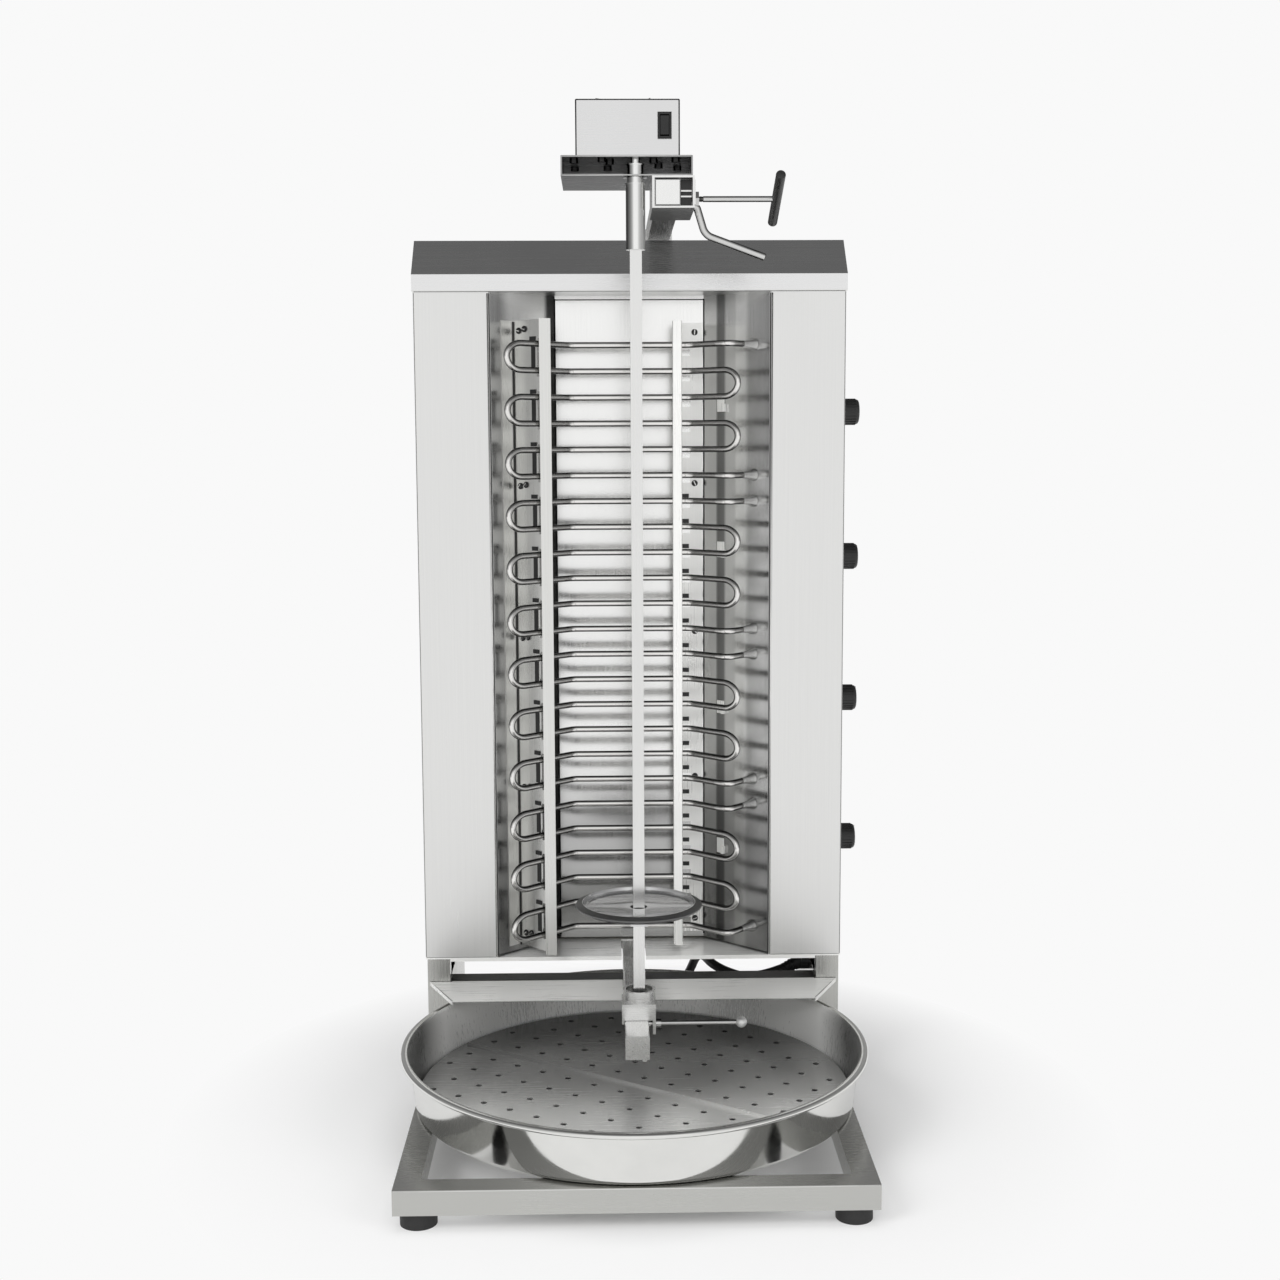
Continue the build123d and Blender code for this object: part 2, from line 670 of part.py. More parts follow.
# Power cord: short tangent arcs between straight runs, from the gland in the leg to the coil
gland_y = 74.0
gland_z = 117.8
gland_tip = leg_inner - 9.5
gland_radius = 10.0
coil_x = -4.0
coil_y = 132.0
coil_radius = 61.0
cord_end_z = 10.0
cord_route = [
    (gland_tip, gland_y, gland_z), (151.2, 69.6, 93.9), (101.5, 93.9, 102.5), (84.2, 156.7, 107.9),
    (71.8, 195.9, 57.8), (31.1, 196, 18.3), (coil_x, coil_y + coil_radius, cord_end_z),
]
cord_points = [spot(*point) for point in cord_route]
cord_radii = []
for before, here, after in zip(cord_points, cord_points[1:], cord_points[2:]):
    run_in = here - before
    run_out = after - here
    half_turn = radians(run_in.get_angle(run_out)) / 2
    cord_radii.append(0.45 * min(run_in.length, run_out.length) / tan(half_turn))
print("cord radii", [round(radius, 1) for radius in cord_radii])
with BuildPart() as power_cord:
    with BuildLine() as cord_line:
        FilletPolyline(*cord_points, radius=cord_radii)
    cord_path = cord_line.wires()[0]
    with BuildSketch(Plane(origin=cord_path @ 0, z_dir=cord_path % 0)):
        Circle(cord_radius)
    sweep(path=cord_path)
cord_volume = pi * cord_radius**2 * cord_path.length
print("cord volume ratio", round(power_cord.part.volume / cord_volume, 4), "length", round(cord_path.length))
power_cord.part.label = "power_cord"
export_step(power_cord.part, "parts/power_cord.step")

# Coil of spare cord on the floor, with the short tail to the plug
coil_half = 11.0
tail_y = coil_y - coil_radius
plug_start = coil_x + coil_radius + coil_half + 14
with BuildPart() as cord_coil:
    with BuildSketch(Plane(origin=spot(coil_x, coil_y, 0), x_dir=(1, 0, 0), z_dir=(0, -1, 0))) as section:
        with Locations((coil_radius, coil_half)):
            Rectangle(2 * coil_half, 2 * coil_half)
            chamfer(section.vertices(), 4)
    revolve(section.sketch, axis=Axis(spot(coil_x, coil_y, 0), (0, 0, 1)))
    entry = coil_y + coil_radius - cord_radius - 1
    bar(coil_x, coil_x + coil_radius + coil_half, entry, entry + 3 * coil_half,
        -1, 2 * coil_half + 1, Mode.SUBTRACT)
    peg(coil_x, plug_start, tail_y, coil_half, cord_radius)
cord_coil.part.label = "cord_coil"
export_step(cord_coil.part, "parts/cord_coil.step")

# Five-pin round plug
plug_radius = 22.0
plug_length = 90.0
plug_z = plug_radius
plug_neck = 28.0
plug_face = plug_start + plug_length
pin_base = plug_face - 32
with BuildPart() as plug_body:
    peg(plug_start, plug_start + plug_neck, tail_y, coil_half + 4, 11)
    peg(plug_start + plug_neck, plug_face, tail_y, plug_z, plug_radius)
    peg(pin_base, plug_face + 1, tail_y, plug_z, plug_radius - 3, Mode.SUBTRACT)
plug_body.part.label = "plug_body"
export_step(plug_body.part, "parts/plug_body.step")

with BuildPart() as plug_pins:
    for index in range(5):
        angle = radians(72 * index + 90)
        peg(pin_base, pin_base + 26, tail_y + 13 * cos(angle), plug_z + 13 * sin(angle), 2.6)
plug_pins.part.label = "plug_pins"
export_step(plug_pins.part, "parts/plug_pins.step")

# Cable gland in the right leg
with BuildPart() as cable_gland:
    peg(gland_tip, leg_inner, gland_y, gland_z, gland_radius)
    peg(gland_tip - 1, leg_inner + 1, gland_y, gland_z, cord_radius, Mode.SUBTRACT)
cable_gland.part.label = "cable_gland"
export_step(cable_gland.part, "parts/cable_gland.step")

# Hanger that keeps the cord up under the casing floor
clip_x = 94.0
clip_y = 120.0
clip_low = 109.0
with BuildPart() as cord_clip:
    bar(clip_x - 5, clip_x + 5, clip_y - 4, clip_y + 4, clip_low, casing_bottom - sheet)
cord_clip.part.label = "cord_clip"
export_step(cord_clip.part, "parts/cord_clip.step")

# Carriage sleeve around the upper arm, with the screw's bore in its right wall
sleeve_left = arm_up_left - slide_gap - 2.5
sleeve_right = arm_up_right + 14.5
sleeve_back = sleeve_front + sleeve_length
sleeve_low = upper_arm_bottom - slide_gap - tube_wall
sleeve_top = arm_up_top + 2 + tube_wall
screw_y = (sleeve_front + sleeve_back) / 2
screw_z = upper_arm_bottom + tube / 2
screw_radius = 3.0
with BuildPart() as carriage_sleeve:
    bar(sleeve_left, sleeve_right, sleeve_front, sleeve_back, sleeve_low, sleeve_top)
    bar(arm_up_left - slide_gap, sleeve_right - tube_wall, sleeve_front - 1, sleeve_back + 1,
        sleeve_low + tube_wall, sleeve_top - tube_wall, Mode.SUBTRACT)
    peg(sleeve_right - tube_wall - 1, sleeve_right + 1, screw_y, screw_z, screw_radius + running_gap,
        Mode.SUBTRACT)
carriage_sleeve.part.label = "carriage_sleeve"
export_step(carriage_sleeve.part, "parts/carriage_sleeve.step")

nut_width = 6.5
with BuildPart() as clamp_nut:
    with BuildSketch(side(sleeve_right)) as hexagon:
        with Locations((screw_y, screw_z)):
            RegularPolygon(8, 6)
    extrude(hexagon.sketch, amount=nut_width)
    peg(sleeve_right - 1, sleeve_right + nut_width + 1, screw_y, screw_z, screw_radius + running_gap,
        Mode.SUBTRACT)
clamp_nut.part.label = "clamp_nut"
export_step(clamp_nut.part, "parts/clamp_nut.step")

# Pressure pad on the arm and the clamp screw behind it, with its tee grip
pad_gap = 0.3
pad_left = arm_up_right + pad_gap
pad_right = pad_left + 3
grip_x = sleeve_right + 86.5
grip_length = 96.0
grip_radius = 5.0
grip_lean = 22.5
with BuildPart() as pressure_pad:
    peg(pad_left, pad_right, screw_y, screw_z, 8)
pressure_pad.part.label = "pressure_pad"
export_step(pressure_pad.part, "parts/pressure_pad.step")

with BuildPart() as clamp_screw:
    peg(pad_right, grip_x - grip_radius + 1, screw_y, screw_z, screw_radius)
clamp_screw.part.label = "clamp_screw"
export_step(clamp_screw.part, "parts/clamp_screw.step")

lean = radians(grip_lean)
grip_dir = Vector(0, -cos(lean), sin(lean))
with BuildPart() as clamp_grip:
    start = spot(grip_x, screw_y, screw_z) - grip_dir * (grip_length / 2)
    with BuildSketch(Plane(origin=start, z_dir=grip_dir)):
        Circle(grip_radius)
    extrude(amount=grip_length)
    chamfer(clamp_grip.edges().filter_by(GeomType.CIRCLE), 2)
    peg(grip_x - grip_radius - 1, grip_x - grip_radius + 1, screw_y, screw_z, screw_radius, Mode.SUBTRACT)
clamp_grip.part.label = "clamp_grip"
export_step(clamp_grip.part, "parts/clamp_grip.step")

# Bent pull handle on the carriage
handle_radius = 3.2
handle_points = [
    spot(sleeve_right, screw_y, screw_z - 11), spot(sleeve_right + 7, screw_y, screw_z - 11),
    spot(sleeve_right + 14, screw_y, screw_z - 36), spot(sleeve_right + 75.5, screw_y, screw_z - 59),
]
with BuildPart() as pull_handle:
    with BuildLine() as handle_line:
        FilletPolyline(*handle_points, radius=[4, 16])
    handle_path = handle_line.wires()[0]
    with BuildSketch(Plane(origin=handle_path @ 0, z_dir=handle_path % 0)):
        Circle(handle_radius)
    sweep(path=handle_path)
pull_handle.part.label = "pull_handle"
export_step(pull_handle.part, "parts/pull_handle.step")

# Motor tray: sheet channel open at the front, slotted for the coupling
tray_front = sleeve_front
tray_back = tray_front + tray_depth
tray_low = sleeve_top
tray_top = tray_low + tray_height
slot_half = 12.0
with BuildPart() as motor_tray:
    bar(tray_left, tray_right, tray_front, tray_back, tray_low, tray_top)
    bar(tray_left + sheet, tray_right - sheet, tray_front - 1, tray_back - sheet,
        tray_low + sheet, tray_top - sheet, Mode.SUBTRACT)
    bar(spit_x - slot_half, spit_x + slot_half, tray_front - 1, spit_y + slot_half,
        tray_low - 1, tray_low + sheet + 1, Mode.SUBTRACT)
    pillar(spit_x, spit_y, 6, tray_top - sheet - 1, tray_top + 1, Mode.SUBTRACT)
motor_tray.part.label = "motor_tray"
export_step(motor_tray.part, "parts/motor_tray.step")

bolt_spots = [
    (-58, -160), (-58, -110), (-30, -168), (-22, -150), (-24, -112),
    (22, -160), (28, -128), (44, -166), (48, -112),
]
with BuildPart() as tray_bolts:
    for x, y in bolt_spots:
        with BuildSketch(level(tray_top - sheet - 3)) as bolt:
            with Locations((x, y)):
                RegularPolygon(4.2, 6)
        extrude(bolt.sketch, amount=3)
tray_bolts.part.label = "tray_bolts"
export_step(tray_bolts.part, "parts/tray_bolts.step")

# Motor housing: open underneath, with the switch cut-out in its front
housing_back = housing_front + housing_depth
housing_top = tray_top + housing_height
switch_left = 25.7
switch_right = 39.6
switch_low = tray_top + 16.4
switch_high = tray_top + 42.4
with BuildPart() as motor_housing:
    bar(housing_left, housing_right, housing_front, housing_back, tray_top, housing_top)
    fillet(motor_housing.edges().filter_by(Axis.Z), 1.5)
    bar(housing_left + sheet, housing_right - sheet, housing_front + sheet, housing_back - sheet,
        tray_top - 1, housing_top - sheet, Mode.SUBTRACT)
    bar(switch_left + 1, switch_right - 1, housing_front - 1, housing_front + 2 * sheet,
        switch_low + 1, switch_high - 1, Mode.SUBTRACT)
motor_housing.part.label = "motor_housing"
export_step(motor_housing.part, "parts/motor_housing.step")

with BuildPart() as housing_screws:
    for x in (-33, 18):
        for y in (housing_front + 12, housing_back - 12):
            pillar(x, y, 4, housing_top, housing_top + 2.5)
housing_screws.part.label = "housing_screws"
export_step(housing_screws.part, "parts/housing_screws.step")

# Rocker switch: bezel body in the housing and the rocker on its pivot
pivot_z = (switch_low + switch_high) / 2
rocker_half = 4.2
with BuildPart() as switch_body:
    bar(switch_left, switch_right, housing_front - 1.5, housing_front, switch_low, switch_high)
    bar(switch_left + 1, switch_right - 1, housing_front, housing_front + 20, switch_low + 1, switch_high - 1)
    middle = (switch_left + switch_right) / 2
    bar(middle - rocker_half - 0.6, middle + rocker_half + 0.6, housing_front - 2, housing_front + 16,
        pivot_z - 10.6, pivot_z + 10.6, Mode.SUBTRACT)
switch_body.part.label = "switch_body"
export_step(switch_body.part, "parts/switch_body.step")

with BuildPart() as switch_rocker:
    wedge = [
        (housing_front - 3.4, pivot_z + 9), (housing_front - 0.4, pivot_z),
        (housing_front - 1.2, pivot_z - 9), (housing_front + 4, pivot_z - 9),
        (housing_front + 8, pivot_z), (housing_front + 4, pivot_z + 9),
    ]
    polygon(side(middle - rocker_half), wedge, 2 * rocker_half)
switch_rocker.part.label = "switch_rocker"
export_step(switch_rocker.part, "parts/switch_rocker.step")

# Levels of the spit's lower bearing and of the rod in it
seat_left = arm_low_left - slide_gap - 2.5
seat_right = arm_low_right + 7.5
seat_base = arm_low_top + 0.3
seat_top = seat_base + seat_height
ball_screw_z = arm_low_top - 8.4

# Gear motor on the tray, with its output shaft
with BuildPart() as gear_motor:
    bar(-36, 26, housing_front + 4, housing_front + 60, tray_top, tray_top + 26)
    pillar(-6, housing_front + 32, 21, tray_top + 26, tray_top + 50)
    pillar(spit_x, spit_y, 4.5, tray_top, tray_top + 4)
gear_motor.part.label = "gear_motor"
export_step(gear_motor.part, "parts/gear_motor.step")

# Drive coupling: output shaft, head and tube with a square socket for the rod
coupling_mid = sleeve_low + 24
coupling_low = coupling_mid - 64
head_top = coupling_mid + 20
socket_half = rod / 2 + socket_gap
coupling_radius = socket_half * 2**0.5 + 1
rod_bottom = seat_top - 9
rod_top = upper_arm_bottom + rod_reach
with BuildPart() as drive_coupling:
    pillar(spit_x, spit_y, coupling_radius, coupling_low, coupling_mid)
    pillar(spit_x, spit_y, coupling_radius + 0.6, coupling_mid, coupling_mid + 1.2)
    pillar(spit_x, spit_y, coupling_radius - 1.6, coupling_mid + 1.2, head_top)
    pillar(spit_x, spit_y, coupling_radius - 0.4, head_top - 1.2, head_top)
    pillar(spit_x, spit_y, 4.6, head_top, tray_top - 0.3)
    bar(spit_x - socket_half, spit_x + socket_half, spit_y - socket_half, spit_y + socket_half,
        coupling_low - 1, rod_top + 1, Mode.SUBTRACT)
drive_coupling.part.label = "drive_coupling"
export_step(drive_coupling.part, "parts/drive_coupling.step")

# Spit rod: square bar with a turned lower pin
pin_radius = rod / 2 - 1
pin_length = 15.0
with BuildPart() as spit_rod:
    bar(spit_x - rod / 2, spit_x + rod / 2, spit_y - rod / 2, spit_y + rod / 2, rod_bottom + pin_length, rod_top)
    pillar(spit_x, spit_y, pin_radius, rod_bottom, rod_bottom + pin_length)
spit_rod.part.label = "spit_rod"
export_step(spit_rod.part, "parts/spit_rod.step")

# Meat plate: shallow dish with a raised, bevelled rim, and its square collar
collar_half = socket_half + 2.8
plate_floor = seat_top + plate_rise
plate_low = plate_floor - plate_sheet
plate_top = plate_floor + plate_rim_height
rim_inside = plate_radius - plate_rim_width
with BuildPart() as meat_plate:
    with BuildSketch(facing(spit_y)) as dish:
        with BuildLine():
            Polyline(
                (spit_x, plate_low), (spit_x + rim_inside + 1, plate_low),
                (spit_x + plate_radius, plate_top - 4.3),
                (spit_x + plate_radius, plate_top - 2.8), (spit_x + rim_inside, plate_top),
                (spit_x + rim_inside - 1, plate_floor), (spit_x, plate_floor), close=True,
            )
        make_face()
    revolve(dish.sketch, axis=Axis(spot(spit_x, spit_y, 0), (0, 0, 1)))
    bar(spit_x - socket_half, spit_x + socket_half, spit_y - socket_half, spit_y + socket_half,
        plate_low - 1, plate_floor + 1, Mode.SUBTRACT)
meat_plate.part.label = "meat_plate"
export_step(meat_plate.part, "parts/meat_plate.step")

with BuildPart() as plate_collar:
    bar(spit_x - collar_half, spit_x + collar_half, spit_y - collar_half, spit_y + collar_half,
        plate_low - collar_height, plate_low)
    bar(spit_x - socket_half, spit_x + socket_half, spit_y - socket_half, spit_y + socket_half,
        plate_low - collar_height - 1, plate_low + 1, Mode.SUBTRACT)
plate_collar.part.label = "plate_collar"
export_step(plate_collar.part, "parts/plate_collar.step")

# Spit seat: sleeve on the lower arm with the bearing cup on top
seat_front = spit_y - seat_size / 2
seat_back = spit_y + seat_size / 2
with BuildPart() as spit_seat:
    bar(seat_left, seat_right, seat_front, seat_back, seat_base, seat_top)
    bar(seat_left, arm_low_left - slide_gap, seat_front, seat_back, seat_base - 4, seat_base + 1)
    bar(seat_right - 3, seat_right, seat_front, seat_back, seat_base - 15, seat_base + 1)
    pillar(spit_x, spit_y, cup_radius, seat_top, seat_top + cup_height)
    pillar(spit_x, spit_y, cup_radius - 3, seat_top, seat_top + cup_height + 1, Mode.SUBTRACT)
    pillar(spit_x, spit_y, pin_radius + running_gap, rod_bottom - 0.3, seat_top + 1, Mode.SUBTRACT)
    peg(seat_right - 4, seat_right + 1, spit_y, ball_screw_z, 2.5 + running_gap, Mode.SUBTRACT)
spit_seat.part.label = "spit_seat"
export_step(spit_seat.part, "parts/spit_seat.step")

# Ball-ended clamp screw of the seat
ball_x = seat_right + 90.8
ball_radius = 6.0
with BuildPart() as seat_screw:
    peg(arm_low_right + pad_gap, ball_x - 3, spit_y, ball_screw_z, 2.5)
    peg(arm_low_right + pad_gap, arm_low_right + pad_gap + 2, spit_y, ball_screw_z, 4.5)
    peg(seat_right + 0.3, seat_right + 6, spit_y, ball_screw_z, 4.6)
seat_screw.part.label = "seat_screw"
export_step(seat_screw.part, "parts/seat_screw.step")

arc = [radians(22.5 * step) for step in range(9)]
with BuildPart() as screw_ball:
    ball_centre = spot(ball_x, spit_y, ball_screw_z)
    with BuildSketch(Plane(origin=ball_centre, x_dir=(1, 0, 0), z_dir=(0, -1, 0))) as disc:
        with BuildLine():
            Polyline(*[(ball_radius * cos(a), ball_radius * sin(a)) for a in arc], close=True)
        make_face()
    revolve(disc.sketch, axis=Axis(ball_centre, (1, 0, 0)))
    peg(ball_x - 8, ball_x - 3, spit_y, ball_screw_z, 2.5, Mode.SUBTRACT)
screw_ball.part.label = "screw_ball"
export_step(screw_ball.part, "parts/screw_ball.step")

# Drip pan: spun bowl with a flat bottom and a rolled rim
pan_low = frame_top
rim_z = pan_low + pan_height
pan_plane = Plane(origin=spot(pan_x, pan_y, 0), x_dir=(1, 0, 0), z_dir=(0, -1, 0))
pan_axis = Axis(spot(pan_x, pan_y, 0), (0, 0, 1))
skin = pan_sheet
lip_in = pan_rim_radius - pan_rim_width
with BuildPart() as drip_pan:
    with BuildSketch(pan_plane) as wall:
        with BuildLine():
            Polyline(
                (0, pan_low), (pan_wall_bottom - 3, pan_low), (pan_wall_bottom, pan_low + 4),
                (lip_in, rim_z - skin), (pan_rim_radius - skin, rim_z - skin),
                (pan_rim_radius - skin, rim_z - 5), (pan_rim_radius, rim_z - 5), (pan_rim_radius, rim_z),
                (lip_in - skin, rim_z),
                (pan_wall_bottom - skin, pan_low + 4.5), (pan_wall_bottom - 3.5, pan_low + skin),
                (0, pan_low + skin),
                close=True,
            )
        make_face()
    revolve(wall.sketch, axis=pan_axis)
drip_pan.part.label = "drip_pan"
export_step(drip_pan.part, "parts/drip_pan.step")

# Perforated plate in two halves that meet on a slanted seam, each with a turned-down edge
grid_radius = pan_wall_bottom - grid_gap
grid_middle = spot(pan_x, pan_y, pan_low + grid_height)
grid_turned = Plane(origin=grid_middle, x_dir=(1, 0, 0), z_dir=(0, 0, 1)).rotated((0, 0, grid_turn))
skirt = grid_height - pan_sheet
seam_gap = 0.3


def half_disc(hand, outer, inner):
    """One half of a disc or ring, cut off beside the seam."""
    Circle(outer)
    if inner > 0:
        Circle(inner, mode=Mode.SUBTRACT)
    cut = Align.MAX if hand > 0 else Align.MIN
    with Locations((0, seam_shift + hand * seam_gap)):
        Rectangle(3 * outer, 3 * outer, align=(Align.CENTER, cut), mode=Mode.SUBTRACT)


for hand, name in ((-1, "grid_left"), (1, "grid_right")):
    with BuildPart() as grid:
        with BuildSketch(grid_turned) as plate_half:
            half_disc(hand, grid_radius, 0)
        extrude(plate_half.sketch, amount=pan_sheet)
        with BuildSketch(grid_turned) as edge_ring:
            half_disc(hand, grid_radius, grid_radius - pan_sheet)
        extrude(edge_ring.sketch, amount=-skirt)
        if hand < 0:
            with BuildSketch(grid_turned) as seam_edge:
                with Locations((0, seam_shift - seam_gap)):
                    Rectangle(2 * grid_radius - 6, pan_sheet, align=(Align.CENTER, Align.MAX))
            extrude(seam_edge.sketch, amount=pan_sheet + 2.5)
        spots = []
        for row in range(7):
            for column in range(-7, 8):
                x = column * hole_pitch
                y = seam_shift + hand * (first_row + row * hole_pitch)
                if hypot(x, y) < grid_radius - hole_margin:
                    spots.append((x, y))
        with BuildSketch(grid_turned) as holes:
            with Locations(*spots):
                RegularPolygon(hole_radius, 8)
        extrude(holes.sketch, amount=pan_sheet, mode=Mode.SUBTRACT)
    grid.part.label = name
    export_step(grid.part, f"parts/{name}.step")
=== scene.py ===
"""Looks of the electric doner grill: finishes, round elements, spun pan, cord, fasteners, camera, studio."""

from math import atan2, cos, pi, radians, sin, tan

import bmesh
import bpy
from mathutils import Matrix, Vector


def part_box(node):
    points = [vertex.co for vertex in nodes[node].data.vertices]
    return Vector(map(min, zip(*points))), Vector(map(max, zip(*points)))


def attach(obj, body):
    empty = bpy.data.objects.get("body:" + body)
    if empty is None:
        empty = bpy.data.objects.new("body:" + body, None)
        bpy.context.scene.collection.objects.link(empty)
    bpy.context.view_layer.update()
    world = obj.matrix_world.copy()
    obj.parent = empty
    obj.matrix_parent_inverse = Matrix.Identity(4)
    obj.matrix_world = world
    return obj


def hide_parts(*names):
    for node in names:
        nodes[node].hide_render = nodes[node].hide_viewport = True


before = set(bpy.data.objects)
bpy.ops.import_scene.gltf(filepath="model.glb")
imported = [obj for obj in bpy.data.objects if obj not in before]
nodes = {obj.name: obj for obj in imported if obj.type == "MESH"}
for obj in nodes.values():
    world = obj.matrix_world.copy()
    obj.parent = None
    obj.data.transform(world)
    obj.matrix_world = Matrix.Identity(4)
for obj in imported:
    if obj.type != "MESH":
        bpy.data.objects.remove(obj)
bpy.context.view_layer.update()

# The casing's middle and front, from which places are given in millimetres
casing_x = (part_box("casing_left")[0].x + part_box("casing_right")[1].x) / 2
casing_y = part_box("casing_left")[0].y
MM = 0.001


def at(x, y, z):
    """A point in metres, given in millimetres from the casing's middle, its front and the floor."""
    return Vector((casing_x + x * MM, casing_y + y * MM, z * MM))


# Camera, from the photograph's viewpoint
camera_place = at(-27.5, -1905.8, 744.0)
camera_yaw = radians(1.107)
camera_pitch = radians(6.771)
camera_roll = radians(-0.2636)
focal_pixels = 1691.2
image_pixels = 1280
camera_data = bpy.data.cameras.new("camera")
camera = bpy.data.objects.new("camera", camera_data)
bpy.context.scene.collection.objects.link(camera)
camera_data.sensor_width = 36.0
camera_data.lens = camera_data.sensor_width * focal_pixels / image_pixels
turn = Matrix.Rotation(-camera_yaw, 4, "Z") @ Matrix.Rotation(pi / 2 - camera_pitch, 4, "X")
camera.matrix_world = Matrix.Translation(camera_place) @ turn @ Matrix.Rotation(camera_roll, 4, "Z")
bpy.context.scene.camera = camera
bpy.context.scene.view_settings.view_transform = "Standard"


# Power cord: from the gland down to the coil, round it, and on to the plug
CORD_RADIUS = 5.5
coil_middle = (-4.0, 132.0)
cord_route = [
    (203, 74, 117.8), (151.2, 69.6, 93.9), (101.5, 93.9, 102.5), (84.2, 156.7, 107.9),
    (71.8, 195.9, 57.8), (31.1, 196, 18.3), (-4, 198, 6),
]
# Turns wound so far, with the coil's radius and height there
coil_plan = [
    (0.0, 66.5, 5.6), (0.8, 66.5, 5.6), (1.0, 55.5, 5.6), (1.5, 55.5, 5.6), (1.7, 55.5, 16.5),
    (2.0, 57.0, 16.5), (2.5, 61.0, 16.5),
]
TURN_POINTS = 16


def coil_place(turns):
    """Radius and height of the coil after that many turns."""
    for (start, r0, z0), (end, r1, z1) in zip(coil_plan, coil_plan[1:]):
        if turns <= end + 1e-6:
            share = (turns - start) / (end - start)
            return r0 + share * (r1 - r0), z0 + share * (z1 - z0)
    return coil_plan[-1][1:]


cord_points = list(cord_route)
steps = int(coil_plan[-1][0] * TURN_POINTS)
swell = 1 / cos(pi / TURN_POINTS)
for step in range(1, steps + 1):
    radius, height = coil_place(step / TURN_POINTS)
    angle = pi / 2 + 2 * pi * step / TURN_POINTS
    cord_points.append((
        coil_middle[0] + swell * radius * cos(angle), coil_middle[1] + swell * radius * sin(angle), height,
    ))
cord_points += [(22, 71, 16.5), (50, 71, 15.2), (84, 71, 15)]

cord_curve = bpy.data.curves.new("cord", "CURVE")
cord_curve.dimensions = "3D"
cord_curve.resolution_u = 8
cord_curve.bevel_depth = 1.0
cord_curve.bevel_resolution = 5
cord_curve.use_fill_caps = True
cord_line = cord_curve.splines.new("NURBS")
cord_line.points.add(len(cord_points) - 1)
for point, place in zip(cord_line.points, cord_points):
    point.co = (*at(*place), 1)
    point.radius = CORD_RADIUS * MM
cord_line.order_u = 3
cord_line.use_endpoint_u = True
cord = bpy.data.objects.new("cord", cord_curve)
bpy.context.scene.collection.objects.link(cord)
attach(cord, "stand")
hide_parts("power_cord", "cord_coil")


# Materials


def new_material(name):
    """A material with its node tree and its principled shader."""
    material = bpy.data.materials.new(name)
    material.use_nodes = True
    return material, material.node_tree, material.node_tree.nodes["Principled BSDF"]


def place_node(tree, scale, shift=0.0):
    """Object coordinates, scaled per axis."""
    coordinate = tree.nodes.new("ShaderNodeTexCoord")
    mapping = tree.nodes.new("ShaderNodeMapping")
    mapping.inputs["Scale"].default_value = scale
    mapping.inputs["Location"].default_value = (shift, shift, shift)
    tree.links.new(coordinate.outputs["Object"], mapping.inputs["Vector"])
    return mapping.outputs["Vector"]


def noise(tree, scale, detail=4.0, roughness=0.6, shift=0.0):
    """Noise in object space, scaled per axis."""
    texture = tree.nodes.new("ShaderNodeTexNoise")
    texture.inputs["Scale"].default_value = 1.0
    texture.inputs["Detail"].default_value = detail
    texture.inputs["Roughness"].default_value = roughness
    tree.links.new(place_node(tree, scale, shift), texture.inputs["Vector"])
    return texture.outputs["Fac"]


def spread(tree, value, low, high, from_low=0.3, from_high=0.7):
    """Maps a value from one range onto another."""
    node = tree.nodes.new("ShaderNodeMapRange")
    node.inputs["From Min"].default_value = from_low
    node.inputs["From Max"].default_value = from_high
    node.inputs["To Min"].default_value = low
    node.inputs["To Max"].default_value = high
    tree.links.new(value, node.inputs["Value"])
    return node.outputs["Result"]


def combined(tree, first, second, operation="ADD"):
    """Two values joined by one sum or product."""
    node = tree.nodes.new("ShaderNodeMath")
    node.operation = operation
    for socket, value in zip(node.inputs, (first, second)):
        if isinstance(value, (int, float)):
            socket.default_value = value
        else:
            tree.links.new(value, socket)
    return node.outputs["Value"]


def tinted(tree, value, dark, light):
    """Colour between two tints, chosen by a value from 0 to 1."""
    node = tree.nodes.new("ShaderNodeMix")
    node.data_type = "RGBA"
    for socket, colour in ((node.inputs["A"], dark), (node.inputs["B"], light)):
        if isinstance(colour, tuple):
            socket.default_value = (*colour, 1)
        else:
            tree.links.new(colour, socket)
    tree.links.new(value, node.inputs["Factor"])
    return node.outputs["Result"]


def bumped(tree, shader, height, strength, distance):
    """Bump from a height value."""
    node = tree.nodes.new("ShaderNodeBump")
    node.inputs["Strength"].default_value = strength
    node.inputs["Distance"].default_value = distance
    tree.links.new(height, node.inputs["Height"])
    tree.links.new(node.outputs["Normal"], shader.inputs["Normal"])


def curve(tree, value, stops):
    """A grey ramp of positions and levels."""
    ramp = tree.nodes.new("ShaderNodeValToRGB")
    ramp.color_ramp.elements[0].position = stops[0][0]
    ramp.color_ramp.elements[0].color = (*[stops[0][1]] * 3, 1)
    ramp.color_ramp.elements[1].position = stops[-1][0]
    ramp.color_ramp.elements[1].color = (*[stops[-1][1]] * 3, 1)
    for position, level in stops[1:-1]:
        element = ramp.color_ramp.elements.new(position)
        element.color = (level, level, level, 1)
    tree.links.new(value, ramp.inputs["Fac"])
    return ramp.outputs["Color"]


GRAIN_ALONG = 7.0
GRAIN_ACROSS = 700.0


